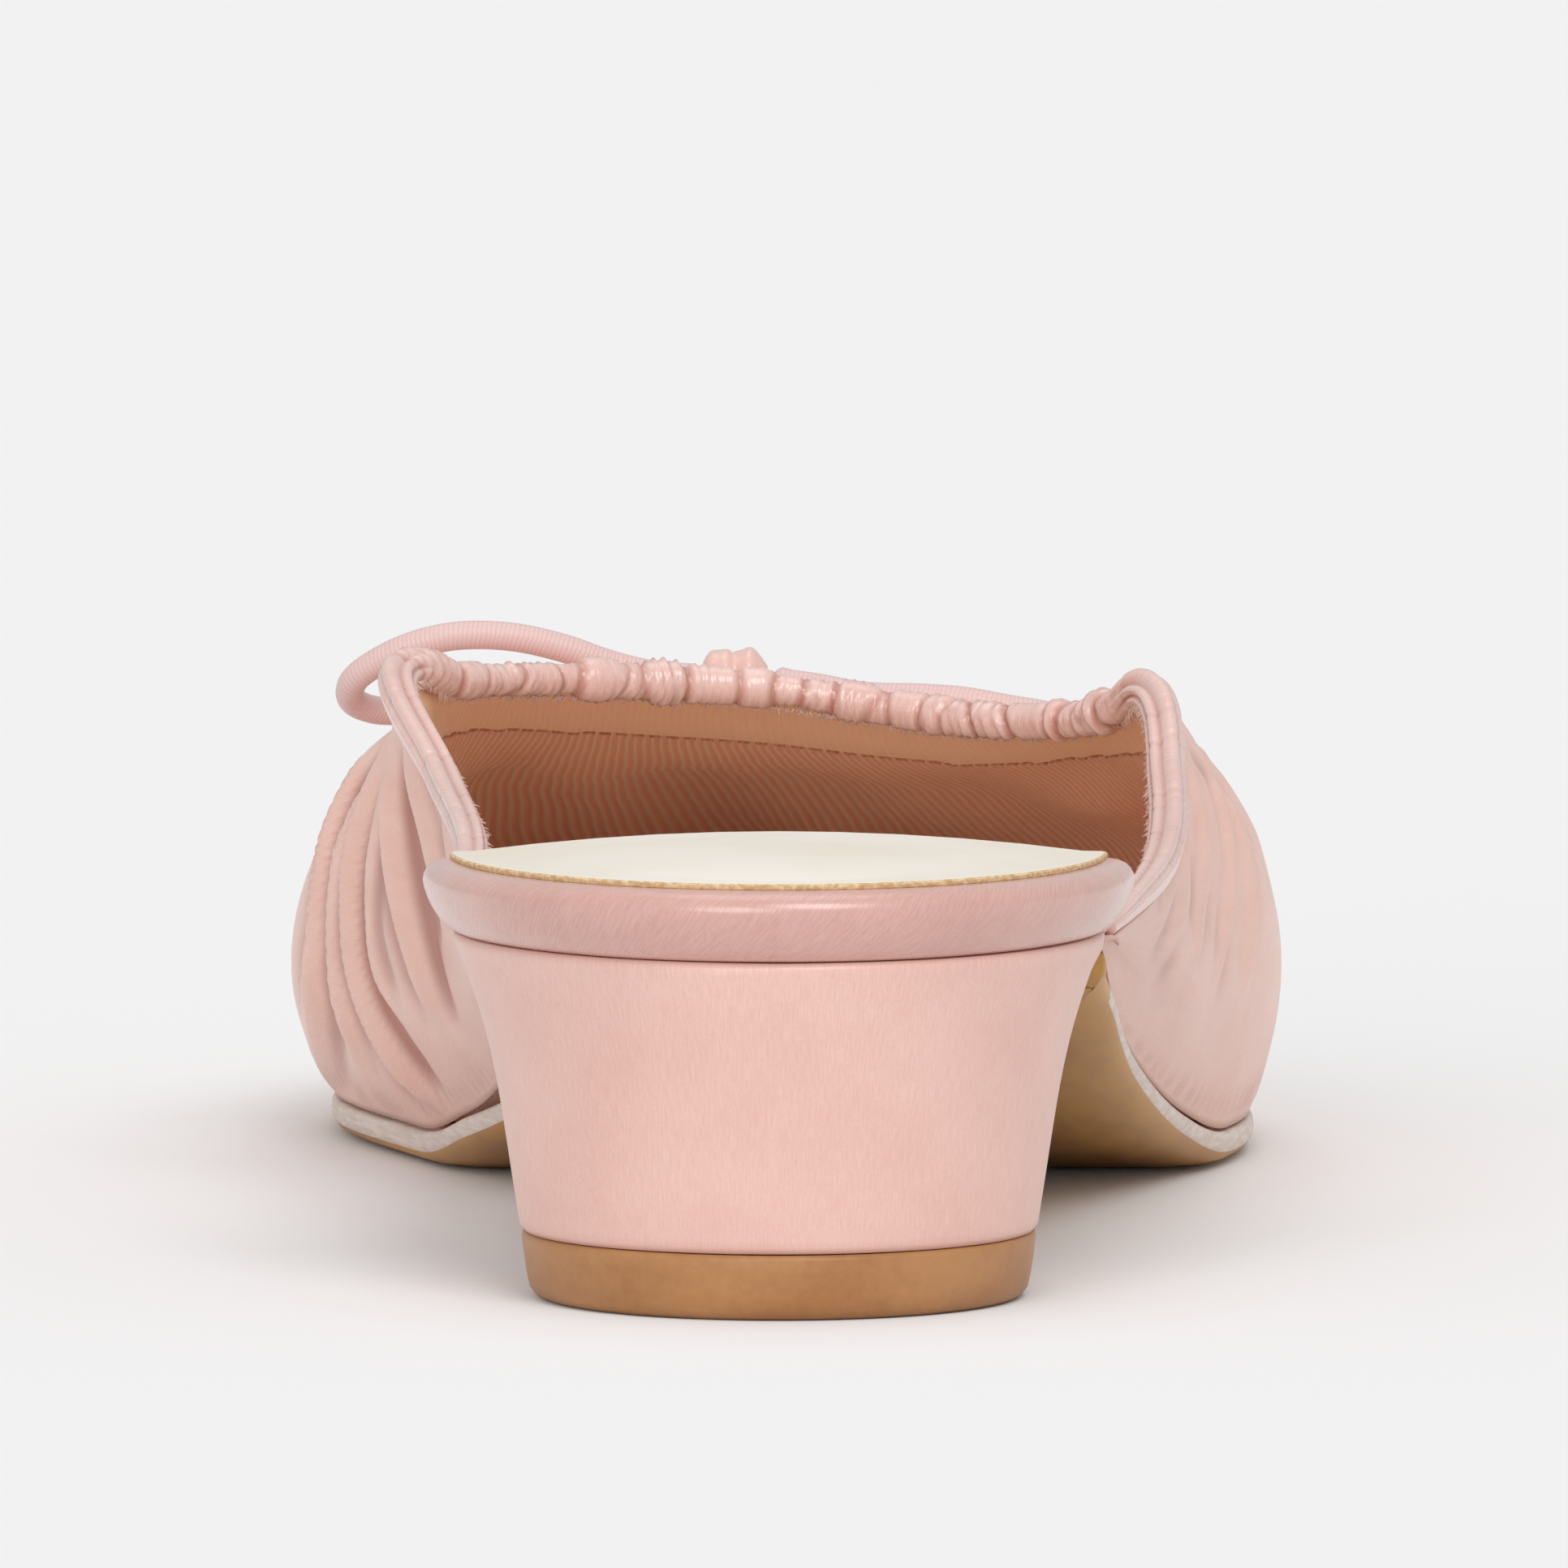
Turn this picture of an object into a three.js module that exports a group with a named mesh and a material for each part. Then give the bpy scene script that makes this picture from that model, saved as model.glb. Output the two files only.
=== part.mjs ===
// A right-foot mule: gathered satin upper with a drawstring topline and a cord bow,
// a satin-covered footbed with a leather sock, a thin arched outsole and a low block heel.
// Millimetres. The foot runs along +Y from heel to toe, +X is the outer (little-toe) side, +Z is up.
import * as THREE from 'three';

// Driving dimensions
const seatHeight = 30.9; // floor to the underside of the footbed at the heel
const liftThickness = 5.7;
const soleThickness = 3.4;
const soleMargin = 0.5; // how far the outsole shows outside the foot of the upper
const upperWall = 1.6; // satin, stiffener and lining together
const sockThickness = 0.9;
const sockInset = 2.4; // from the edge of the footbed to the edge of the sock
const seatHalfWidth = 31;
const seatCurve = 42; // length of the rounded back of the footbed
const breastAtSole = 53.7; // where the outsole stops against the front of the heel
const gatherPitch = 3.9; // one pucker of the drawstring casing
const cordDiameter = 2.7;
const seam = 0.3; // clearance where pieces are lasted, glued or tied together

const ballLevel = soleThickness + seam;

// Underside of the footbed along the shoe: level heel seat, sloping waist, flat ball, toe spring.
const bottomRows = [
  { y: 0, z: seatHeight, thick: 6.2 },
  { y: 38, z: seatHeight, thick: 6.2 },
  { y: 52, z: 28.4, thick: 5.9 },
  { y: 70, z: 22.0, thick: 5.2 },
  { y: 95, z: 14.4, thick: 4.4 },
  { y: 125, z: 6.9, thick: 3.8 },
  { y: 145, z: ballLevel, thick: 3.4 },
  { y: 200, z: ballLevel, thick: 3.0 },
  { y: 226, z: 5.3, thick: 2.8 },
  { y: 252, z: 9.8, thick: 2.6 },
];

// One row for each guide line of the upper, from the inner tail round the toe to the outer tail.
// foot: where the line leaves the sole. top: where it ends at the topline.
// rise and swell: how the wall climbs and swells outwards from the sole.
// reach and drop: how the line leaves the topline towards the sole.
const upperLines = [
  { footX: -27.9, footY: 60, topX: -28.8, topY: 62, topZ: 27.7, rise: 1, swell: 1, reach: 0.3, drop: 1 },
  { footX: -24.6, footY: 80, topX: -28.0, topY: 77, topZ: 33.4, rise: 6, swell: 6, reach: 1, drop: 5 },
  { footX: -25.4, footY: 106, topX: -31.0, topY: 99, topZ: 38.0, rise: 10, swell: 9, reach: 2, drop: 8 },
  { footX: -31.5, footY: 137, topX: -35.6, topY: 119, topZ: 46.0, rise: 15, swell: 14, reach: 4, drop: 12 },
  { footX: -42.3, footY: 177, topX: -30.0, topY: 132, topZ: 47.0, rise: 17, swell: 13, reach: 20, drop: 3 },
  { footX: -38.5, footY: 214, topX: -20.0, topY: 142, topZ: 46.5, rise: 17, swell: 8, reach: 38, drop: 8 },
  { footX: -23.5, footY: 242, topX: -9.5, topY: 147.5, topZ: 45.7, rise: 15, swell: 4, reach: 47, drop: 12 },
  { footX: -5.0, footY: 252, topX: 0.5, topY: 149, topZ: 44.9, rise: 13, swell: 3, reach: 49, drop: 13 },
  { footX: 13.5, footY: 245, topX: 10.0, topY: 147.5, topZ: 43.5, rise: 14, swell: 4, reach: 46, drop: 11 },
  { footX: 32.0, footY: 221, topX: 19.0, topY: 142, topZ: 42.8, rise: 15, swell: 7, reach: 37, drop: 6 },
  { footX: 43.0, footY: 184, topX: 27.8, topY: 133, topZ: 43.7, rise: 18, swell: 10, reach: 22, drop: 0 },
  { footX: 44.2, footY: 157, topX: 35.0, topY: 119.5, topZ: 45.5, rise: 23, swell: 10, reach: 8, drop: 4 },
  { footX: 37.6, footY: 126, topX: 36.0, topY: 101, topZ: 38.0, rise: 14, swell: 9, reach: 4, drop: 6 },
  { footX: 31.6, footY: 90, topX: 34.8, topY: 80, topZ: 32.0, rise: 7, swell: 5, reach: 1, drop: 5 },
  { footX: 28.9, footY: 60, topX: 30.6, topY: 62, topZ: 27.6, rise: 1, swell: 1, reach: 0.3, drop: 1 },
];

// Edges of the footbed where it narrows from the seat into the waist, inside the tails of the upper.
const waistRows = [
  { y: 51, outer: 29.8, inner: -29.4 },
  { y: 61, outer: 26.9, inner: -25.9 },
];

// The casing along the topline, from the inner tail to the outer tail.
// depth is the share of the radius lost between puckers.
const casingRows = [
  { along: 0, radius: 1.4, depth: 0 },
  { along: 0.14, radius: 1.65, depth: 0.03 },
  { along: 0.3, radius: 1.75, depth: 0.12 },
  { along: 0.36, radius: 1.75, depth: 0.2 },
  { along: 0.64, radius: 1.75, depth: 0.2 },
  { along: 0.7, radius: 1.75, depth: 0.12 },
  { along: 0.86, radius: 1.65, depth: 0.03 },
  { along: 1, radius: 1.4, depth: 0 },
];

// Plan of the heel block from the lift (level 0) to the footbed (level 1).
// curve is the length of the rounded back, back and breast are distances from the back of the footbed.
const heelRows = [
  { level: 0, halfWidth: 22.3, back: 5.6, breast: 43.0, curve: 23 },
  { level: 0.15, halfWidth: 22.9, back: 5.2, breast: 43.4, curve: 24 },
  { level: 0.32, halfWidth: 23.6, back: 4.8, breast: 44.1, curve: 26 },
  { level: 0.48, halfWidth: 24.3, back: 4.3, breast: 45.2, curve: 28 },
  { level: 0.65, halfWidth: 25.3, back: 3.7, breast: 47.0, curve: 31 },
  { level: 0.84, halfWidth: 26.9, back: 2.9, breast: 49.9, curve: 35 },
  { level: 1, halfWidth: 28.6, back: 2.3, breast: 53.2, curve: 38 },
];

// Edge profiles: inset from the outline, height as a share of the thickness.
const footbedEdge = [
  { inset: 3.2, share: 0 },
  { inset: 1.9, share: 0.07 },
  { inset: 0.8, share: 0.32 },
  { inset: 0.1, share: 0.6 },
  { inset: 0.1, share: 0.78 },
  { inset: 0.8, share: 0.93 },
  { inset: 2.4, share: 1 },
];
const sockEdge = [
  { inset: sockInset, share: 0 },
  { inset: sockInset, share: 0.7 },
  { inset: sockInset + 0.4, share: 1 },
  { inset: sockInset + 9, share: 1.7 },
];
const soleEdge = [
  { inset: 7, share: 0 },
  { inset: 2.2, share: 0.1 },
  { inset: 0.5, share: 0.3 },
  { inset: 0, share: 0.55 },
  { inset: 0, share: 0.85 },
  { inset: 0.4, share: 1 },
];
const liftEdge = [
  { inset: 1.7, share: 0 },
  { inset: 0.8, share: 0.16 },
  { inset: 0.1, share: 0.9 },
  { inset: 0.3, share: 1 },
];

// The bow: its knot, the middle line of each loop, and its ends, which lie on the vamp.
const knotCentre = new THREE.Vector3(-4.2, 160, 45.2);
const knotHalfSize = new THREE.Vector3(3.0, 2.6, 2.3);
const bowLoops = {
  bow_loop_inner: [
    { x: -7.5, y: 158.3, z: 45 },
    { x: -12, y: 157.8, z: 45.4 },
    { x: -16, y: 157, z: 46.4 },
    { x: -20.4, y: 156, z: 48 },
    { x: -25.3, y: 155.4, z: 49.1 },
    { x: -30.4, y: 155.2, z: 49.2 },
    { x: -34.4, y: 155.6, z: 48.3 },
    { x: -37.8, y: 156.6, z: 46.7 },
    { x: -40.2, y: 158.2, z: 44.8 },
    { x: -40.5, y: 160.6, z: 42.9 },
    { x: -38.4, y: 163, z: 41.7 },
    { x: -33.8, y: 164.9, z: 41.6 },
    { x: -27.4, y: 165.8, z: 42.2 },
    { x: -20, y: 165.2, z: 43.3 },
    { x: -13, y: 162.9, z: 44.2 },
    { x: -7.9, y: 161.4, z: 44.9 },
  ],
  bow_loop_outer: [
    { x: -0.6, y: 158.3, z: 44.7 },
    { x: 3.5, y: 158.8, z: 44.1 },
    { x: 8, y: 159, z: 43.3 },
    { x: 13.8, y: 158.9, z: 43.1 },
    { x: 17.6, y: 158.9, z: 42.8 },
    { x: 21.4, y: 159.1, z: 42.1 },
    { x: 25.2, y: 159.8, z: 41.4 },
    { x: 28.4, y: 161.6, z: 40.4 },
    { x: 29.6, y: 164.6, z: 39.4 },
    { x: 27.4, y: 167.4, z: 38.9 },
    { x: 22, y: 168.5, z: 39.5 },
    { x: 15, y: 167.4, z: 40.7 },
    { x: 8, y: 165.2, z: 42 },
    { x: 3.2, y: 162.8, z: 43.6 },
    { x: -0.5, y: 161.4, z: 44.7 },
  ],
};
const bowTails = {
  bow_tail_inner: [
    { line: 6.515, down: 0.093 },
    { line: 6.42, down: 0.14 },
    { line: 6.3, down: 0.19 },
    { line: 6.2, down: 0.25 },
    { line: 6.15, down: 0.31 },
    { line: 6.2, down: 0.37 },
    { line: 6.3, down: 0.42 },
  ],
  bow_tail_outer: [
    { line: 6.795, down: 0.092 },
    { line: 6.9, down: 0.14 },
    { line: 7.05, down: 0.19 },
    { line: 7.2, down: 0.25 },
    { line: 7.3, down: 0.31 },
    { line: 7.32, down: 0.37 },
    { line: 7.25, down: 0.42 },
  ],
};

// Mesh density
const stepsPerLine = 5;
const wallSteps = 13;
const heelCurveSteps = 10;
const casingStep = 1.45;
const casingSides = 8;
const cordSides = 8;
const cordStep = 2.6 * cordDiameter;

// Colours
const blushSatin = { color: 0xe3b7ae, roughness: 0.45, metalness: 0 };
const creamLeather = { color: 0xf2e9dc, roughness: 0.6, metalness: 0 };
const tanRubber = { color: 0xb07c4f, roughness: 0.5, metalness: 0 };
const tanSole = { color: 0xa9794a, roughness: 0.4, metalness: 0 };

// A smooth function through one column of a table, which never overshoots its rows.
function through(rows, key, column) {
  const x = rows.map((row) => row[key]);
  const y = rows.map((row) => row[column]);
  const last = rows.length - 1;
  const slope = x.slice(1).map((end, i) => (y[i + 1] - y[i]) / (end - x[i]));
  const tangent = x.map((_, i) => {
    const before = slope[Math.max(i - 1, 0)];
    const after = slope[Math.min(i, last - 1)];
    return before * after > 0 ? (2 * before * after) / (before + after) : 0;
  });
  return (at) => {
    const inside = THREE.MathUtils.clamp(at, x[0], x[last]);
    const found = x.findIndex((end, i) => i > 0 && inside <= end) - 1;
    const span = x[found + 1] - x[found];
    const t = (inside - x[found]) / span;
    const keepStart = (1 + 2 * t) * (1 - t) ** 2;
    const leaveStart = t * (1 - t) ** 2 * span * tangent[found];
    const reachEnd = t ** 2 * (t - 1) * span * tangent[found + 1];
    return keepStart * y[found] + (1 - keepStart) * y[found + 1] + leaveStart + reachEnd;
  };
}

// A closed solid through loops of equal count. Each loop runs anticlockwise about the way the loops advance,
// and point j of a loop faces point count - j across it, so that both ends are closed by straight strips.
function solidThrough(loops) {
  const count = loops[0].length;
  const half = count / 2;
  const index = [];
  const triangle = (a, b, c) => {
    if (a !== b && b !== c && c !== a) index.push(a, b, c);
  };
  const quad = (a, b, c, d) => {
    triangle(a, b, c);
    triangle(a, c, d);
  };
  for (let k = 0; k + 1 < loops.length; k++) {
    for (let j = 0; j < count; j++) {
      const next = (j + 1) % count;
      quad(k * count + j, k * count + next, (k + 1) * count + next, (k + 1) * count + j);
    }
  }
  const end = (loops.length - 1) * count;
  for (let j = 0; j < half; j++) {
    const across = (count - j) % count;
    quad(end + j, end + j + 1, end + count - j - 1, end + across);
    quad(across, count - j - 1, j + 1, j);
  }
  const corners = loops.flat().flatMap((point) => [point.x, point.y, point.z]);
  const geometry = new THREE.BufferGeometry();
  geometry.setAttribute('position', new THREE.Float32BufferAttribute(corners, 3));
  geometry.setIndex(index);
  geometry.computeVertexNormals();
  return geometry;
}

// Levels along the shoe
const bottomAt = through(bottomRows, 'y', 'z');
const footbedThickAt = through(bottomRows, 'y', 'thick');

// The upper's surface
const lastLine = upperLines.length - 1;
const numberedLines = upperLines.map((row, line) => ({ ...row, line }));
const shapeAt = Object.fromEntries(
  ['rise', 'swell', 'reach', 'drop'].map((column) => [column, through(numberedLines, 'line', column)]),
);
const footCurve = new THREE.CatmullRomCurve3(
  upperLines.map((row) => new THREE.Vector3(row.footX, row.footY, 0)),
);
const toplineCurve = new THREE.CatmullRomCurve3(
  upperLines.map((row) => new THREE.Vector3(row.topX, row.topY, row.topZ)),
);

// The guide line of the upper at a place between the rows, from the topline down to the sole.
function guideLine(line) {
  const share = THREE.MathUtils.clamp(line / lastLine, 0, 1);
  const foot = footCurve.getPoint(share);
  foot.z = bottomAt(foot.y);
  const top = toplineCurve.getPoint(share);
  const along = footCurve.getTangent(share);
  const outwards = new THREE.Vector3(-along.y, along.x, 0);
  const towardsFoot = foot.clone().sub(top).setZ(0).normalize();
  const climb = foot.clone().addScaledVector(outwards, shapeAt.swell(line));
  climb.z += shapeAt.rise(line);
  const leave = top.clone().addScaledVector(towardsFoot, shapeAt.reach(line));
  leave.z -= shapeAt.drop(line);
  return new THREE.CubicBezierCurve3(top, leave, climb, foot);
}

const nudge = 0.02; // difference used to find the surface's direction across the guide lines

// A point on the outside of the upper, down from the topline (0) to the sole (1), with its directions.
function onUpper(line, down) {
  const before = guideLine(Math.max(line - nudge, 0));
  const here = guideLine(line);
  const after = guideLine(Math.min(line + nudge, lastLine));
  const across = after.getPoint(down).sub(before.getPoint(down));
  const out = across.clone().cross(here.getTangent(down)).normalize();
  return { point: here.getPoint(down), out, towardsTop: across.cross(out).normalize() };
}

function upper() {
  const loops = [];
  for (let step = 0; step <= lastLine * stepsPerLine; step++) {
    const line = step / stepsPerLine;
    const wall = Array.from({ length: wallSteps + 1 }, (_, k) => onUpper(line, k / wallSteps));
    const outside = wall.map(({ point }) => point);
    const inside = wall.map(({ point, out }) => point.clone().addScaledVector(out, -upperWall));
    const topEdge = outside[0].clone().lerp(inside[0], 0.5);
    const footEdge = outside[wallSteps].clone().lerp(inside[wallSteps], 0.5);
    loops.push([topEdge, ...inside, footEdge, ...outside.reverse()]);
  }
  return solidThrough(loops);
}

// The drawstring casing: a puckered roll along the topline, seated on the edge of the upper.
function casing() {
  const length = toplineCurve.getLength();
  const steps = Math.round(length / casingStep);
  const radiusAt = through(casingRows, 'along', 'radius');
  const depthAt = through(casingRows, 'along', 'depth');
  const centres = [];
  for (let step = 0; step <= steps; step++) {
    const along = step / steps;
    const edge = onUpper(toplineCurve.getUtoTmapping(along) * lastLine, 0);
    centres.push(
      edge.point
        .clone()
        .addScaledVector(edge.out, -upperWall / 2)
        .addScaledVector(edge.towardsTop, radiusAt(along) + seam),
    );
  }
  const path = new THREE.CatmullRomCurve3(centres);
  const frames = path.computeFrenetFrames(steps);
  const loops = [];
  for (let step = 0; step <= steps; step++) {
    const along = step / steps;
    const pucker = Math.abs(Math.sin((Math.PI * along * length) / gatherPitch));
    const radius = radiusAt(along) * (1 - depthAt(along) * (1 - pucker));
    const centre = path.getPointAt(along);
    loops.push(
      Array.from({ length: casingSides }, (_, side) => {
        const angle = (2 * Math.PI * side) / casingSides;
        return centre
          .clone()
          .addScaledVector(frames.normals[step], radius * Math.cos(angle))
          .addScaledVector(frames.binormals[step], radius * Math.sin(angle));
      }),
    );
  }
  return solidThrough(loops);
}

// Plan outlines run from the middle of the back along the outer side, round the toe and home on the inner side.
function insetPlan(points, inset) {
  const count = points.length;
  return points.map((point, j) => {
    const along = points[(j + 1) % count].clone().sub(points[(j + count - 1) % count]).normalize();
    return new THREE.Vector3(point.x - along.y * inset, point.y + along.x * inset, 0);
  });
}

function footbedPlan() {
  const clearOfWall = upperWall + seam;
  const feet = upperLines.slice(1, lastLine).map((row) => new THREE.Vector3(row.footX, row.footY, 0));
  const inFoot = feet.map((foot, i) => {
    const along = footCurve.getTangent((i + 1) / lastLine);
    return foot.add(new THREE.Vector3(along.y, -along.x, 0).multiplyScalar(clearOfWall));
  });
  const seat = (turn) => {
    const angle = turn * Math.PI * 0.5;
    return new THREE.Vector3(seatHalfWidth * Math.sin(angle), seatCurve * (1 - Math.cos(angle)), 0);
  };
  const outerSeat = [1 / 4, 1 / 2, 3 / 4, 1].map(seat);
  const innerSeat = [-1, -3 / 4, -1 / 2, -1 / 4].map((turn) => seat(turn).setY(seat(-turn).y));
  const outerWaist = waistRows.map((row) => new THREE.Vector3(row.outer, row.y, 0));
  const innerWaist = waistRows.map((row) => new THREE.Vector3(row.inner, row.y, 0)).reverse();
  const rows = [seat(0), ...outerSeat, ...outerWaist, ...inFoot.reverse(), ...innerWaist, ...innerSeat];
  const curve = new THREE.CatmullRomCurve3(rows, true);
  const count = rows.length * stepsPerLine;
  return Array.from({ length: count }, (_, j) => curve.getPoint(j / count));
}

// A slab on a plan outline whose edge follows a profile, between a lower surface and its thickness above it.
function slab(plan, edge, lowAt, thickAt) {
  return solidThrough(
    edge.map(({ inset, share }) =>
      insetPlan(plan, inset).map((point) => point.setZ(lowAt(point.y) + share * thickAt(point.y))),
    ),
  );
}

function outsole() {
  const count = lastLine * stepsPerLine;
  const round = Array.from({ length: count + 1 }, (_, j) => footCurve.getPoint(1 - j / count));
  const outerCorner = round[0].clone().setY(breastAtSole);
  const innerCorner = round[count].clone().setY(breastAtSole);
  const back = outerCorner.clone().lerp(innerCorner, 0.5);
  const plan = insetPlan([back, outerCorner, ...round, innerCorner], -soleMargin);
  const lowAt = (y) => bottomAt(y) - ballLevel;
  return slab(plan, soleEdge, lowAt, () => soleThickness);
}

function footbed() {
  return slab(footbedPlan(), footbedEdge, bottomAt, footbedThickAt);
}

function sock() {
  const lowAt = (y) => bottomAt(y) + footbedThickAt(y) + seam;
  return slab(footbedPlan(), sockEdge, lowAt, () => sockThickness);
}

// D-shaped plan of the heel: rounded back, straight sides and a flat breast with eased corners.
function heelPlan({ halfWidth, back, breast, curve }) {
  const cornerEase = 2;
  const outer = [];
  for (let step = 1; step <= heelCurveSteps; step++) {
    const angle = (step / heelCurveSteps) * Math.PI * 0.5;
    outer.push([halfWidth * Math.sin(angle), back + curve * (1 - Math.cos(angle))]);
  }
  outer.push([halfWidth, breast - cornerEase]);
  outer.push([halfWidth - cornerEase * 0.3, breast - cornerEase * 0.3]);
  outer.push([halfWidth - cornerEase, breast]);
  const inner = outer.map(([x, y]) => [-x, y]).reverse();
  return [[0, back], ...outer, [0, breast], ...inner].map(([x, y]) => new THREE.Vector3(x, y, 0));
}

function heelBlock() {
  const low = liftThickness + seam;
  return solidThrough(
    heelRows.map((row) =>
      heelPlan(row).map((point) => point.setZ(low + row.level * (bottomAt(point.y) - seam - low))),
    ),
  );
}

function topLift() {
  return slab(heelPlan(heelRows[0]), liftEdge, () => 0, () => liftThickness);
}

function cord(route) {
  const path = new THREE.CatmullRomCurve3(route);
  const section = new THREE.Shape();
  for (let side = 0; side < cordSides; side++) {
    const angle = (2 * Math.PI * side) / cordSides;
    const move = side ? 'lineTo' : 'moveTo';
    section[move]((cordDiameter / 2) * Math.cos(angle), (cordDiameter / 2) * Math.sin(angle));
  }
  const steps = Math.round(path.getLength() / cordStep);
  return new THREE.ExtrudeGeometry(section, { extrudePath: path, steps });
}

function bowLoop(rows) {
  return cord(rows.map(({ x, y, z }) => new THREE.Vector3(x, y, z)));
}

function bowTail(rows) {
  return cord(
    rows.map(({ line, down }) => {
      const { point, out } = onUpper(line, down);
      return point.addScaledVector(out, cordDiameter / 2 + seam);
    }),
  );
}

function knot() {
  return new THREE.SphereGeometry(1, 14, 9)
    .scale(knotHalfSize.x, knotHalfSize.z, knotHalfSize.y)
    .rotateX(Math.PI / 2)
    .translate(knotCentre.x, knotCentre.y, knotCentre.z);
}

// Assembly
const shoe = new THREE.Group();
function place(name, geometry, finish) {
  const mesh = new THREE.Mesh(geometry, new THREE.MeshStandardMaterial(finish));
  mesh.name = name;
  shoe.add(mesh);
}

place('outsole', outsole(), tanSole);
place('heel_block', heelBlock(), blushSatin);
place('top_lift', topLift(), tanRubber);
place('footbed', footbed(), blushSatin);
place('sock', sock(), creamLeather);
place('upper', upper(), blushSatin);
place('topline_casing', casing(), blushSatin);
const body = new THREE.Box3().setFromObject(shoe);
place('bow_knot', knot(), blushSatin);
for (const [name, rows] of Object.entries(bowLoops)) {
  place(name, bowLoop(rows), blushSatin);
}
for (const [name, rows] of Object.entries(bowTails)) {
  place(name, bowTail(rows), blushSatin);
}

// The origin is on the floor, under the middle of the shoe without its bow.
const middle = body.getCenter(new THREE.Vector3());
shoe.position.set(-middle.x, -middle.y, 0);

export default shoe;
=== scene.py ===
import math
import random
import bmesh
import bpy
import numpy as np
from mathutils import Matrix, Vector


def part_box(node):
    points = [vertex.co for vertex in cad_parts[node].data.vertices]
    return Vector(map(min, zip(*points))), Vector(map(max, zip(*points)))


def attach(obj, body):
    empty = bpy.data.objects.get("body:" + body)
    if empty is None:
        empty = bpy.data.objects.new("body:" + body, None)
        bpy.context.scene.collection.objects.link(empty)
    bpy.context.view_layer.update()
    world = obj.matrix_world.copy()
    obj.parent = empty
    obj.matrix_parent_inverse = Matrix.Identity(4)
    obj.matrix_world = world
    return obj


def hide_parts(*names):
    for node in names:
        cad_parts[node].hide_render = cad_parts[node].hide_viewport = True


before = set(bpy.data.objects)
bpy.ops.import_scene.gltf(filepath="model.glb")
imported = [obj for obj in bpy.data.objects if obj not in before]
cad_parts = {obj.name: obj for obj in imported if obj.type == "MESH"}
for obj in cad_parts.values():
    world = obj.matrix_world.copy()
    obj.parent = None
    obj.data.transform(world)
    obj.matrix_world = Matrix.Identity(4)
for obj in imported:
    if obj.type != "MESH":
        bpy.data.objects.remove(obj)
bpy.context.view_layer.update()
print("frame loaded with", len(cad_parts), "CAD nodes")

mm = 0.001
heelLow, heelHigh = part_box("heel_block")
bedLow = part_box("footbed")[0]
# back of the heel, where the tables start
home = np.array([(heelLow.x + heelHigh.x) / 2, bedLow.y - 0.1 * mm, 0])


def place(points):  # table millimetres to metres in the part's frame
    return np.asarray(points, float) * mm + home


def unit(vectors):
    return vectors / np.maximum(np.linalg.norm(vectors, axis=-1, keepdims=True), 1e-9)


def ease(low, high, value):
    t = np.clip((np.asarray(value, float) - low) / (high - low), 0, 1)
    return t * t * (3 - 2 * t)


def hump(value, middle, width):
    return np.exp(-(((value - middle) / width) ** 2))


# camera
cameraView = {"side": 0.45, "behind": 1300, "height": 139, "pitch": 4.08, "lens": 355.0, "sensor": 36}


def makeCamera(view):
    data = bpy.data.cameras.new("photoCamera")
    data.lens = view["lens"]
    data.sensor_width = view["sensor"]
    data.clip_end = 80
    camera = bpy.data.objects.new("photoCamera", data)
    bpy.context.scene.collection.objects.link(camera)
    camera.location = place((view["side"], -view["behind"], view["height"]))
    camera.rotation_euler = (math.radians(90 - view["pitch"]), 0, 0)
    bpy.context.scene.camera = camera


makeCamera(cameraView)
print("camera set")


# smooth tables and curves
def through(x, y):  # never overshoots its rows
    x, y = np.array(x, float), np.array(y, float)
    slope = np.diff(y) / np.diff(x)
    before = np.concatenate((slope[:1], slope))
    after = np.concatenate((slope, slope[-1:]))
    same = before * after > 0
    tangent = np.where(same, 2 * before * after / np.where(same, before + after, 1), 0)

    def at(value):
        value = np.clip(value, x[0], x[-1])
        k = np.clip(np.searchsorted(x, value) - 1, 0, len(x) - 2)
        span = x[k + 1] - x[k]
        t = (value - x[k]) / span
        keep = (1 + 2 * t) * (1 - t) ** 2
        leave = t * (1 - t) ** 2 * span * tangent[k]
        reach = t**2 * (t - 1) * span * tangent[k + 1]
        return keep * y[k] + (1 - keep) * y[k + 1] + leave + reach

    return at


def curveThrough(points, closed=False):
    p = np.array(points, float)
    if closed:
        p = np.vstack((p[-1:], p, p[:2]))
    else:
        p = np.vstack((2 * p[:1] - p[1:2], p, 2 * p[-1:] - p[-2:-1]))
    gap = np.maximum((np.diff(p, axis=0) ** 2).sum(1) ** 0.25, 1e-4)

    def at(value):
        value = np.clip(np.asarray(value, float), 0, len(p) - 3)
        k = np.minimum(value.astype(int), len(p) - 4)
        w = (value - k)[..., None]
        p0, p1, p2, p3 = p[k], p[k + 1], p[k + 2], p[k + 3]
        d0, d1, d2 = gap[k][..., None], gap[k + 1][..., None], gap[k + 2][..., None]
        t1 = ((p1 - p0) / d0 - (p2 - p0) / (d0 + d1) + (p2 - p1) / d1) * d1
        t2 = ((p2 - p1) / d1 - (p3 - p1) / (d1 + d2) + (p3 - p2) / d2) * d1
        return p1 + t1 * w + (3 * (p2 - p1) - 2 * t1 - t2) * w**2 + (2 * (p1 - p2) + t1 + t2) * w**3

    return at


def arcLength(points):
    return np.concatenate(([0], np.cumsum(np.linalg.norm(np.diff(points, axis=0), axis=1))))


def evenly(curve, last, count):  # places on a curve at even steps of length
    fine = np.linspace(0, last, 1500)
    length = arcLength(curve(fine))
    return np.interp(np.linspace(0, length[-1], count), length, fine), length[-1]


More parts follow.
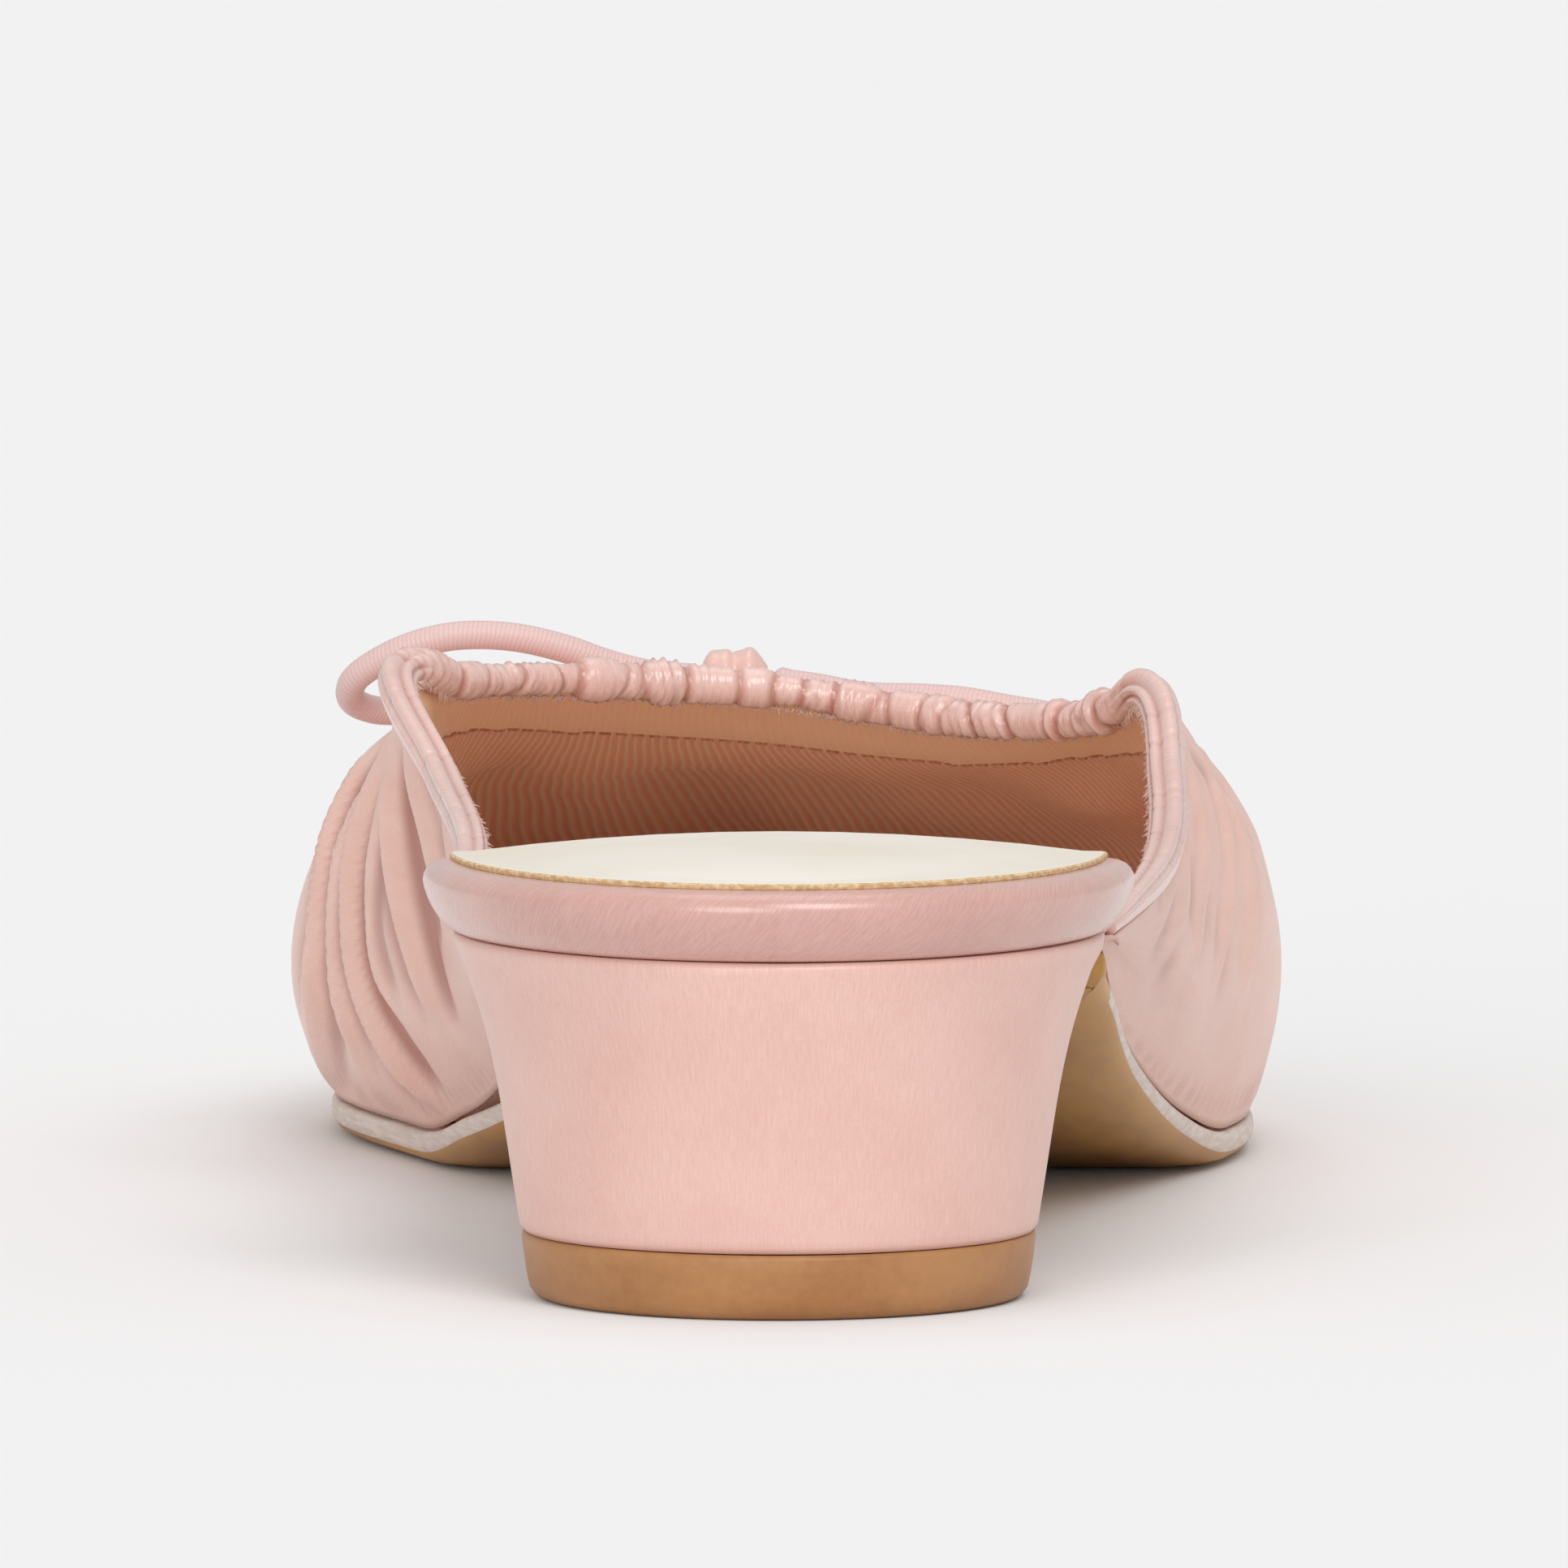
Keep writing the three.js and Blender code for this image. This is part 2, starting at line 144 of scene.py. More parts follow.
# the last: underside of the footbed and guide lines of the upper
lastShape = {
    "bottom": [  # along, level, thickness of the footbed
        (0, 30.9, 6.2), (38, 30.9, 6.2), (52, 28.4, 5.9), (70, 22.0, 5.2), (95, 14.4, 4.4),
        (125, 6.9, 3.8), (145, 3.7, 3.4), (200, 3.7, 3.0), (226, 5.3, 2.8), (252, 9.8, 2.6),
    ],
    "lines": [  # foot x, y, top x, y, z, rise, swell, reach, drop
        (-27.4, 52, -28.4, 54, 29.0, 1, 1, 0.3, 1),
        (-24.6, 80, -28.0, 77, 33.4, 6, 6, 1, 5),
        (-25.4, 106, -31.0, 99, 38.0, 10, 9, 2, 8),
        (-31.5, 137, -35.6, 119, 46.0, 15, 14, 4, 12),
        (-42.3, 177, -30.0, 132, 47.0, 17, 13, 20, 3),
        (-38.5, 214, -20.0, 142, 46.5, 17, 8, 38, 8),
        (-23.5, 242, -9.5, 147.5, 45.7, 15, 4, 47, 12),
        (-5.0, 252, 0.5, 149, 44.9, 13, 3, 49, 13),
        (13.5, 245, 10.0, 147.5, 43.5, 14, 4, 46, 11),
        (32.0, 221, 19.0, 142, 42.8, 15, 7, 37, 6),
        (43.0, 184, 27.8, 133, 43.7, 18, 10, 22, 0),
        (44.2, 157, 35.0, 119.5, 45.5, 23, 10, 8, 4),
        (37.6, 126, 36.0, 101, 38.0, 14, 9, 4, 6),
        (31.6, 90, 34.8, 80, 32.0, 7, 5, 1, 5),
        (28.2, 52, 29.6, 54, 28.9, 1, 1, 0.3, 1),
    ],
    "waist": [(51, 29.8, -29.4), (61, 26.9, -25.9)],  # along, outer edge, inner edge
    "seatHalfWidth": 31,
    "seatCurve": 42,
    "wall": 1.6,
    "seam": 0.3,
    "soleThick": 3.4,
    "breast": 53.7,
}

bottomRows = np.array(lastShape["bottom"], float)
lineRows = np.array(lastShape["lines"], float)
lastLine = len(lineRows) - 1
bottomAt = through(bottomRows[:, 0], bottomRows[:, 1])
bedThickAt = through(bottomRows[:, 0], bottomRows[:, 2])
footLine = curveThrough(np.column_stack((lineRows[:, :2], np.zeros(len(lineRows)))))
topLine = curveThrough(lineRows[:, 2:5])
riseAt, swellAt, reachAt, dropAt = (through(range(len(lineRows)), lineRows[:, k]) for k in (5, 6, 7, 8))
nudge = 0.02


def guideCorners(line):
    foot, top = footLine(line), topLine(line)
    foot[..., 2] = bottomAt(foot[..., 1])
    along = unit(footLine(np.minimum(line + nudge, lastLine)) - footLine(np.maximum(line - nudge, 0)))
    outwards = np.stack((-along[..., 1], along[..., 0], 0 * along[..., 0]), -1)
    towardsFoot = unit((foot - top) * (1, 1, 0))
    climb = foot + outwards * swellAt(line)[..., None]
    climb[..., 2] += riseAt(line)
    leave = top + towardsFoot * reachAt(line)[..., None]
    leave[..., 2] -= dropAt(line)
    return top, leave, climb, foot


def guidePoint(line, down):
    top, leave, climb, foot = guideCorners(line)
    t = down[..., None]
    return (1 - t) ** 3 * top + 3 * (1 - t) ** 2 * t * leave + 3 * (1 - t) * t**2 * climb + t**3 * foot


def onUpper(line, down):  # point, outward direction, direction up the wall
    line, down = np.broadcast_arrays(np.asarray(line, float), np.asarray(down, float))
    top, leave, climb, foot = guideCorners(line)
    t = down[..., None]
    descent = 3 * (1 - t) ** 2 * (leave - top) + 6 * (1 - t) * t * (climb - leave) + 3 * t**2 * (foot - climb)
    across = guidePoint(np.minimum(line + nudge, lastLine), down) - guidePoint(np.maximum(line - nudge, 0), down)
    out = unit(np.cross(across, descent))
    return guidePoint(line, down), out, unit(np.cross(across, out))


# mesh helpers
def addPiece(name, mesh, finishes, replaces=()):
    for finish in finishes:
        mesh.materials.append(finish)
    piece = bpy.data.objects.new(name, mesh)
    bpy.context.scene.collection.objects.link(piece)
    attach(piece, "root")
    if replaces:
        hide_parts(*replaces)
    return piece


def gridMesh(name, points, uv, marks=None, faceFinish=None, merge=False):
    # a grid shaped onto points[across, up]; faces look along (step across) x (step up)
    across, up = points.shape[:2]
    bm = bmesh.new()
    bm.loops.layers.uv.new("UVMap")
    bmesh.ops.create_grid(bm, x_segments=across - 1, y_segments=up - 1, size=1, calc_uvs=True)
    mesh = bpy.data.meshes.new(name)
    bm.to_mesh(mesh)
    bm.free()
    flat = np.empty(len(mesh.vertices) * 3)
    mesh.vertices.foreach_get("co", flat)
    flat = flat.reshape(-1, 3)
    i = np.rint((flat[:, 0] + 1) / 2 * (across - 1)).astype(int)
    j = np.rint((flat[:, 1] + 1) / 2 * (up - 1)).astype(int)
    mesh.vertices.foreach_set("co", place(points[i, j]).ravel())
    corner = np.empty(len(mesh.loops), np.int32)
    mesh.loops.foreach_get("vertex_index", corner)
    mesh.uv_layers[0].data.foreach_set("uv", np.asarray(uv, np.float32)[i, j][corner].ravel())
    for key, values in (marks or {}).items():
        mark = mesh.attributes.new(key, "FLOAT", "POINT")
        mark.data.foreach_set("value", np.asarray(values, np.float32)[i, j])
    if faceFinish is not None:
        row = j[corner].reshape(-1, 4).min(1)
        column = i[corner].reshape(-1, 4).min(1)
        finish = np.asarray(faceFinish, np.int32)
        mesh.polygons.foreach_set("material_index", finish[column, row] if finish.ndim == 2 else finish[row])
    mesh.polygons.foreach_set("use_smooth", np.ones(len(mesh.polygons), bool))
    if merge:
        bm = bmesh.new()
        bm.from_mesh(mesh)
        bmesh.ops.remove_doubles(bm, verts=bm.verts, dist=0.002 * mm)
        bm.to_mesh(mesh)
        bm.free()
    mesh.update()
    return mesh


def tubePoints(centres, sideways, upwards, radius):
    # radius[step, turn]; the last turn closes on the first, and the end rows close on the centre
    turns = radius.shape[1]
    angle = np.linspace(0, 2 * np.pi, turns)
    ring = sideways[:, None] * np.cos(angle)[None, :, None] + upwards[:, None] * np.sin(angle)[None, :, None]
    points = centres[:, None] + ring * radius[:, :, None]
    first = np.repeat(centres[:1, None], turns, 1)
    final = np.repeat(centres[-1:, None], turns, 1)
    return np.concatenate((first, points, final))


def lengthUv(points):  # millimetres along and across a grid, measured through its middle
    along = arcLength(points[:, points.shape[1] // 2])
    up = arcLength(points[points.shape[0] // 2])
    return np.stack(np.meshgrid(along, up, indexing="ij"), -1)


# shader helpers
class Wire:
    def __init__(self, paint, socket):
        self.paint, self.socket = paint, socket

    def joined(self, kind, first, second):
        return self.paint.node("ShaderNodeMath", {"operation": kind}, {0: first, 1: second})

    def __add__(self, other):
        return self.joined("ADD", self, other)

    def __radd__(self, other):
        return self.joined("ADD", other, self)

    def __sub__(self, other):
        return self.joined("SUBTRACT", self, other)

    def __rsub__(self, other):
        return self.joined("SUBTRACT", other, self)

    def __mul__(self, other):
        return self.joined("MULTIPLY", self, other)

    def __rmul__(self, other):
        return self.joined("MULTIPLY", other, self)

    def sine(self):
        return self.joined("SINE", self, 0)

    def above(self, low, high):  # 0 below low, 1 above high
        settings = {"interpolation_type": "SMOOTHSTEP"}
        return self.paint.node("ShaderNodeMapRange", settings, {"Value": self, "From Min": low, "From Max": high})


class Paint:
    def __init__(self, name):
        self.material = bpy.data.materials.new(name)
        self.material.use_nodes = True
        self.tree = self.material.node_tree
        self.tree.nodes.clear()

    def node(self, kind, settings=None, sockets=None, output=0):
        made = self.tree.nodes.new(kind)
        for key, value in (settings or {}).items():
            setattr(made, key, value)
        for key, value in (sockets or {}).items():
            if isinstance(value, Wire):
                self.tree.links.new(value.socket, made.inputs[key])
            else:
                made.inputs[key].default_value = value
        return Wire(self, made.outputs[output]) if made.outputs else None

    def place(self, kind="UV", scale=(1, 1, 1), turn=0.0):
        start = self.node("ShaderNodeTexCoord", output={"UV": 2, "Object": 3}[kind])
        sockets = {"Vector": start, "Rotation": (0, 0, turn), "Scale": tuple(1 / size for size in scale)}
        return self.node("ShaderNodeMapping", {"vector_type": "TEXTURE"}, sockets)

    def parts(self, vector):
        made = self.node("ShaderNodeSeparateXYZ", None, {0: vector})
        outputs = made.socket.node.outputs
        return [Wire(self, outputs[k]) for k in range(3)]

    def noise(self, vector, scale=1.0, detail=2.0, roughness=0.5):
        sockets = {"Vector": vector, "Scale": scale, "Detail": detail, "Roughness": roughness}
        return self.node("ShaderNodeTexNoise", None, sockets)

    def cells(self, vector, scale=1.0):
        return self.node("ShaderNodeTexVoronoi", {"feature": "F1"}, {"Vector": vector, "Scale": scale})

    def mark(self, name):
        return self.node("ShaderNodeAttribute", {"attribute_name": name}, None, 2)

    def mix(self, share, first, second):
        sockets = {0: share, 6: first, 7: second}
        return self.node("ShaderNodeMix", {"data_type": "RGBA"}, sockets, 2)

    def bump(self, height, strength, distance):
        return self.node("ShaderNodeBump", None, {"Height": height, "Strength": strength, "Distance": distance})

    def finish(self, **sockets):
        named = {key.replace("_", " "): value for key, value in sockets.items()}
        shader = self.node("ShaderNodeBsdfPrincipled", None, named)
        self.node("ShaderNodeOutputMaterial", None, {"Surface": shader})
        return self.material


def tone(red, green, blue):  # screen colour to linear
    def linear(value):
        value /= 255
        return value / 12.92 if value <= 0.04045 else ((value + 0.055) / 1.055) ** 2.4

    return (linear(red), linear(green), linear(blue), 1)


# finishes
# satin tones; the third colour is painted shade for fold valleys and casing puckers
satinFinish = {
    "light": (245, 206, 194), "deep": (227, 178, 165), "shadedCrease": (172, 104, 90),
    "threadLength": 0.55, "threadWidth": 7.0, "sheen": 0.1, "rough": 0.33,
}


def satin(
    name, look, turn=0.0, rough=0.0, streak=0.5, paintsCreaseShade=False, kind="UV", unitScale=1.0, relief=0.05, gloss=0.0
):
    paint = Paint(name)
    across = (look["threadLength"] * unitScale, look["threadWidth"] * unitScale, look["threadLength"] * unitScale)
    threads = paint.noise(paint.place(kind, across, turn), 1.0, 2, 0.55)
    weave = paint.noise(paint.place(kind, (3.2 * unitScale,) * 3, turn), 1.0, 2, 0.6)
    cloud = paint.noise(paint.place(kind, (0.09 * unitScale,) * 3), 1.0, 2, 0.5)
    share = threads * streak + weave * 0.35 + cloud * 0.5 - (streak * 0.5 + 0.17)
    colour = paint.mix(share.above(-0.25, 0.75), tone(*look["light"]), tone(*look["deep"]))
    # painted shade: where the mark of fold valleys and casing puckers is high, the satin is darkened towards a
    # deep crease colour
    if paintsCreaseShade:
        colour = paint.mix(paint.mark("shadedCrease").above(0.03, 0.9) * 0.85, colour, tone(*look["shadedCrease"]))
    fine = paint.bump(weave * 0.6 + threads * 0.8, 0.35, relief * mm)
    return paint.finish(
        Base_Color=colour, Roughness=look["rough"] + rough + (threads - 0.5) * 0.25, Normal=fine,
        Sheen_Weight=look["sheen"], Sheen_Roughness=0.35, Sheen_Tint=tone(255, 226, 216), Specular_IOR_Level=0.75,
        Coat_Weight=gloss, Coat_Roughness=0.2,
    )


twillFinish = {
    "rib": (255, 212, 180), "valley": (247, 168, 126), "facing": (255, 214, 178), "facingDeep": (250, 194, 152),
    "ribAcross": 1.15, "ribDown": 0.17, "ribDrift": 3.0,
}


def twill(name, look):
    paint = Paint(name)
    along, depth = paint.parts(paint.place("UV"))[:2]
    drift = paint.noise(paint.place("UV", (0.022, 0.04, 1)), 1.0, 2, 0.5)
    phase = along * look["ribAcross"] + depth * look["ribDown"] + drift * look["ribDrift"]
    ribs = (phase * (2 * math.pi)).sine() * 0.5 + 0.5
    fine = paint.noise(paint.place("UV", (2.2, 2.2, 1)), 1.0, 3, 0.6)
    inner = (depth - paint.mark("reach")).above(-0.15, 0.15)
    lining = paint.mix(ribs * 0.75 + fine * 0.25, tone(*look["valley"]), tone(*look["rib"]))
    facing = paint.mix(ribs * 0.25 + fine * 0.75, tone(*look["facingDeep"]), tone(*look["facing"]))
    height = ribs * (0.3 + inner * 0.7) + fine * 0.35
    return paint.finish(
        Base_Color=paint.mix(inner, facing, lining), Roughness=0.72 + (fine - 0.5) * 0.2,
        Normal=paint.bump(height, 0.7, 0.2 * mm), Sheen_Weight=0.15, Specular_IOR_Level=0.3,
    )


def creamLeather(name):
    paint = Paint(name)
    grain = paint.cells(paint.place("Object"), 1500)
    cloud = paint.noise(paint.place("Object"), 45, 3)
    colour = paint.mix(cloud.above(0.3, 0.75), tone(247, 240, 229), tone(239, 229, 213))
    return paint.finish(
        Base_Color=colour, Roughness=0.5 + (cloud - 0.5) * 0.15, Normal=paint.bump(grain, 0.12, 0.05 * mm),
        Specular_IOR_Level=0.4,
    )


def rawEdge(name):
    paint = Paint(name)
    fibre = paint.noise(paint.place("Object", (1, 1, 2.2)), 1400, 3, 0.65)
    colour = paint.mix(fibre.above(0.35, 0.7), tone(205, 168, 120), tone(240, 214, 174))
    return paint.finish(Base_Color=colour, Roughness=0.8, Normal=paint.bump(fibre, 0.5, 0.1 * mm))


def tanRubber(name):
    paint = Paint(name)
    speck = paint.noise(paint.place("Object"), 900, 3, 0.6)
    cloud = paint.noise(paint.place("Object", (1, 1, 2.5)), 60, 3, 0.5)
    colour = paint.mix((cloud * 0.7 + speck * 0.3).above(0.3, 0.7), tone(168, 116, 70), tone(190, 138, 90))
    return paint.finish(
        Base_Color=colour, Roughness=0.42 + (speck - 0.5) * 0.2, Normal=paint.bump(speck, 0.12, 0.06 * mm),
        Specular_IOR_Level=0.45,
    )


def soleTan(name):
    paint = Paint(name)
    streak = paint.noise(paint.place("Object", (1.0, 0.2, 1)), 420, 4, 0.6)
    cloud = paint.noise(paint.place("Object"), 30, 3, 0.5)
    colour = paint.mix((streak * 0.45 + cloud * 0.55).above(0.3, 0.7), tone(172, 118, 56), tone(208, 158, 88))
    return paint.finish(
        Base_Color=colour, Roughness=0.4 + (streak - 0.5) * 0.25, Normal=paint.bump(streak, 0.15, 0.05 * mm),
        Specular_IOR_Level=0.45,
    )


def soleEdgePale(name):
    paint = Paint(name)
    layer = paint.noise(paint.place("Object", (1, 1, 9)), 240, 3, 0.6)
    colour = paint.mix(layer.above(0.35, 0.7), tone(214, 198, 186), tone(234, 221, 211))
    return paint.finish(
        Base_Color=colour, Roughness=0.48 + (layer - 0.5) * 0.2, Normal=paint.bump(layer, 0.15, 0.05 * mm),
        Specular_IOR_Level=0.4,
    )


cordFinish = {"light": (238, 208, 204), "deep": (221, 184, 180), "sheen": 0.1}


def ribbedCord(name, look):  # satin tube with fine ribs round it
    paint = Paint(name)
    along, turn = paint.parts(paint.place("UV"))[:2]
    wander = paint.noise(paint.place("UV", (0.5, 0.7, 1)), 1.0, 2, 0.5)
    ribs = ((along + turn * 0.12 + wander * 0.35) * (2 * math.pi / 0.42)).sine() * 0.5 + 0.5
    weave = paint.noise(paint.place("UV", (2.5, 5.0, 1)), 1.0, 2, 0.6)
    colour = paint.mix(ribs * 0.45 + weave * 0.4, tone(*look["deep"]), tone(*look["light"]))
    return paint.finish(
        Base_Color=colour, Roughness=0.44 + (weave - 0.5) * 0.2,
        Normal=paint.bump(ribs + weave * 0.4, 0.35, 0.08 * mm),
        Sheen_Weight=look["sheen"], Sheen_Roughness=0.35, Specular_IOR_Level=0.6,
    )


def threadFinish(name, colour, deep):
    paint = Paint(name)
    twist = paint.noise(paint.place("Object"), 2600, 2, 0.6)
    mixed = paint.mix(twist.above(0.3, 0.7), tone(*deep), tone(*colour))
    fuzz = paint.bump(twist, 0.3, 0.05 * mm)
    return paint.finish(Base_Color=mixed, Roughness=0.6, Normal=fuzz, Sheen_Weight=0.3)


# the casing's copy of the satin: the streaks are the weave, but their lighter and darker colours are partly
# painted highlight and painted shade, and its crease colour is painted shade
casingFinish = dict(satinFinish, light=(252, 220, 212), deep=(222, 170, 158), shadedCrease=(188, 118, 100))
# painted shade: the footbed rim gets a darker copy of the satin, for the shade on its face that turns down
shadedRimFinish = dict(satinFinish, light=(228, 182, 171), deep=(202, 150, 139))
upperFinish = dict(satinFinish, light=(251, 213, 199), deep=(232, 182, 167))
upperSatin = satin("upperSatin", upperFinish, turn=0.5, streak=0.45, paintsCreaseShade=True, relief=0.12)
casingSatin = satin(
    "casingSatin", casingFinish, turn=1.5708, rough=-0.06, streak=0.9, paintsCreaseShade=True, relief=0.1, gloss=0.6
)
shadedRimSatin = satin("shadedRimSatin", shadedRimFinish, turn=0.6, streak=0.9, rough=-0.05, relief=0.1, gloss=0.6)
heelSatin = satin("heelSatin", satinFinish, turn=1.5708, streak=0.75, rough=0.04)
knotSatin = satin("knotSatin", satinFinish, kind="Object", unitScale=1000, rough=-0.04, gloss=0.5)
liningTwill = twill("liningTwill", twillFinish)
cordSatin = ribbedCord("cordSatin", cordFinish)
frayThread = threadFinish("frayThread", (250, 226, 218), (232, 190, 178))
seamThread = threadFinish("seamThread", (214, 160, 128), (176, 118, 86))
print("finishes made")


# bow: knot and cords, on the routes of their solids
bowShape = {
    "diameter": 2.7, "turns": 17, "steps": 220,
    "knotCentre": (-4.2, 160, 45.2), "knotHalf": (3.0, 2.6, 2.3),
    "loopInner": [
        (-7.5, 158.3, 45), (-12, 157.8, 45.4), (-16, 157, 46.4), (-20.4, 156, 48), (-25.3, 155.4, 49.1),
        (-30.4, 155.2, 49.2), (-34.4, 155.6, 48.3), (-37.8, 156.6, 46.7), (-40.2, 158.2, 44.8),
        (-40.5, 160.6, 42.9),
        (-38.4, 163, 41.7), (-33.8, 164.9, 41.6), (-27.4, 165.8, 42.2), (-20, 165.2, 43.3), (-13, 162.9, 44.2),
        (-7.9, 161.4, 44.9),
    ],
    "loopOuter": [
        (-0.6, 158.3, 44.7), (3.5, 158.8, 44.1), (8, 159, 43.3), (13.8, 158.9, 43.1), (17.6, 158.9, 42.8),
        (21.4, 159.1, 42.1), (25.2, 159.8, 41.4), (28.4, 161.6, 40.4), (29.6, 164.6, 39.4), (27.4, 167.4, 38.9),
        (22, 168.5, 39.5), (15, 167.4, 40.7), (8, 165.2, 42), (3.2, 162.8, 43.6), (-0.5, 161.4, 44.7),
    ],
    "tailInner": [  # line and share down the vamp
        (6.515, 0.093), (6.42, 0.14), (6.3, 0.19), (6.2, 0.25), (6.15, 0.31), (6.2, 0.37), (6.3, 0.42),
    ],
    "tailOuter": [
        (6.795, 0.092), (6.9, 0.14), (7.05, 0.19), (7.2, 0.25), (7.3, 0.31), (7.32, 0.37), (7.25, 0.42),
    ],
    "lift": 1.65,  # of a tail's middle line above the vamp
}


def onVamp(rows, lift):
    line, down = np.array(rows, float).T
    point, out = onUpper(line, down)[:2]
    return point + out * lift


def carriedFrames(centres):  # sideways and upwards directions that don't twist
    tangent = unit(np.gradient(centres, axis=0))
    sideways = np.empty_like(centres)
    side = np.cross(tangent[0], (0, 0, 1))
    for k, ahead in enumerate(tangent):
        side = unit(side - ahead * np.dot(side, ahead))
        sideways[k] = side
    return sideways, np.cross(sideways, tangent)


def bowCord(name, route, node, shape):
    curve = curveThrough(route)
    where, length = evenly(curve, len(route) - 1, shape["steps"])
    centres = curve(where)
    sideways, upwards = carriedFrames(centres)
    radius = np.full((shape["steps"], shape["turns"]), shape["diameter"] / 2)
    tuck = np.array((0.55, 0.86))[:, None]
    radius[:2] *= tuck  # rounded ends
    radius[-2:] *= tuck[::-1]
    points = tubePoints(centres, sideways, -upwards, radius)
    along = np.concatenate(([0], np.linspace(0, length, shape["steps"]), [length]))
    around = np.linspace(0, np.pi * shape["diameter"], shape["turns"])
    uv = np.stack(np.meshgrid(along, around, indexing="ij"), -1)
    piece = addPiece(name, gridMesh(name, points, uv, merge=True), [cordSatin], [node])
    path = place(centres[:: shape["steps"] // 36])
    path = np.vstack((path, place(centres[-1:])))
    print(name, "is", round(length, 1), "mm long")
    return piece


def makeKnot(shape):
    bm = bmesh.new()
    bmesh.ops.create_uvsphere(bm, u_segments=56, v_segments=48, radius=1)
    bmesh.ops.rotate(bm, verts=bm.verts, cent=(0, 0, 0), matrix=Matrix.Rotation(math.pi / 2, 3, "Y"))
    half = shape["knotHalf"]
    for vert in bm.verts:
        x, y, z = vert.co
        angle = math.atan2(z, y)
        girth = math.hypot(y, z)
        lobes = 0.78 + 0.3 * abs(math.sin(math.pi * (x + 0.06 * math.sin(angle)))) ** 0.8
        winding = 0.055 * math.cos(9.5 * x + 0.8 * angle)
        swell = girth**0.55 * (lobes + winding) if girth > 1e-5 else 0
        vert.co = place((
            shape["knotCentre"][0] + half[0] * x * 1.05,
            shape["knotCentre"][1] + half[1] * 1.1 * swell * math.cos(angle),
            shape["knotCentre"][2] + half[2] * 1.1 * swell * math.sin(angle),
        ))
    bmesh.ops.recalc_face_normals(bm, faces=bm.faces)
    for face in bm.faces:
        face.smooth = True
    mesh = bpy.data.meshes.new("bowKnot")
    bm.to_mesh(mesh)
    bm.free()
    return addPiece("bowKnot", mesh, [knotSatin], ["bow_knot"])


bowKnot = makeKnot(bowShape)
bowCord("bowLoopInner", bowShape["loopInner"], "bow_loop_inner", bowShape)
bowCord("bowLoopOuter", bowShape["loopOuter"], "bow_loop_outer", bowShape)
bowCord("bowTailInner", onVamp(bowShape["tailInner"], bowShape["lift"]), "bow_tail_inner", bowShape)
bowCord("bowTailOuter", onVamp(bowShape["tailOuter"], bowShape["lift"]), "bow_tail_outer", bowShape)
print("bow tied")


# satin upper
upperShape = {
    "across": 560, "down": 70, "thick": 0.5, "seed": 11,
    "folds": [  # depth, width, places as line and share down
        (1.7, 2.0, [
            (3.9, 0.2), (3.95, 0.34), (3.88, 0.42), (3.8, 0.5), (3.7, 0.58), (3.62, 0.7),
            (3.7, 0.83), (3.95, 0.94),
        ]),
        (1.2, 1.8, [(3.7, 0.2), (3.68, 0.36), (3.6, 0.5), (3.53, 0.6), (3.45, 0.7), (3.38, 0.8), (3.4, 0.92)]),
        (2.1, 2.3, [
            (3.6, 0.14), (3.5, 0.3), (3.38, 0.44), (3.25, 0.55), (3.16, 0.65), (3.07, 0.74), (2.98, 0.83),
            (2.93, 0.91), (2.9, 0.98),
        ]),
        (1.1, 1.9, [(3.25, 0.1), (3.15, 0.28), (3.06, 0.42), (2.98, 0.55), (2.86, 0.68), (2.75, 0.8)]),
        (1.5, 2.1, [(3.0, 0.08), (2.8, 0.22), (2.62, 0.36), (2.45, 0.5), (2.32, 0.66), (2.27, 0.84)]),
        (0.9, 1.7, [(2.65, 0.04), (2.4, 0.14), (2.15, 0.28), (1.9, 0.45)]),
        (0.7, 1.4, [(11.0, 0.08), (10.9, 0.25), (10.8, 0.45), (10.75, 0.6)]),
        (0.7, 1.2, [(11.1, 0.12), (11.08, 0.28), (11.3, 0.36), (11.55, 0.45), (11.9, 0.55), (12.2, 0.68)]),
        (0.6, 1.2, [(11.4, 0.1), (11.55, 0.24), (11.85, 0.34), (12.3, 0.44), (12.6, 0.6)]),
        (0.55, 1.2, [(11.85, 0.1), (12.1, 0.2), (12.6, 0.32), (13.1, 0.5)]),
        (0.6, 1.3, [(11.0, 0.3), (11.15, 0.42), (11.35, 0.52), (11.6, 0.64), (11.75, 0.74)]),
        (0.45, 1.1, [(12.6, 0.04), (12.95, 0.16), (13.4, 0.36)]),
    ],
    "pleatPitch": (2.6, 5.2), "pleatHeight": (0.4, 0.95), "pleatReach": (0.25, 0.75),
    "lastingPitch": 2.3, "lastingHeight": 0.16,
}


def foldRelief(points, folds):
    flat = points.reshape(-1, 3)
    relief = np.zeros(len(flat))
    for depth, width, places in folds:
        route = curveThrough(np.array([(l, d, 0) for l, d in places]))(np.linspace(0, len(places) - 1, 70))
        track = onUpper(np.clip(route[:, 0], 0, lastLine), np.clip(route[:, 1], 0, 1))[0]
        near = np.full(len(flat), 1e9)
        which = np.zeros(len(flat), int)
        for k, spot in enumerate(track):
            gap = ((flat - spot) ** 2).sum(1)
            closer = gap < near
            near[closer] = gap[closer]
            which[closer] = k
        away = np.sqrt(near)
        share = which / (len(track) - 1)
        fade = ease(-0.05, 0.22, share) * ease(-0.05, 0.22, 1 - share)
        ridge = hump(away, 0, 1.1 * width)
        hollow = hump(away, 2.3 * width, 1.3 * width)
        relief += fade * depth * (0.7 * ridge - 0.55 * hollow)
    return relief.reshape(points.shape[:2])


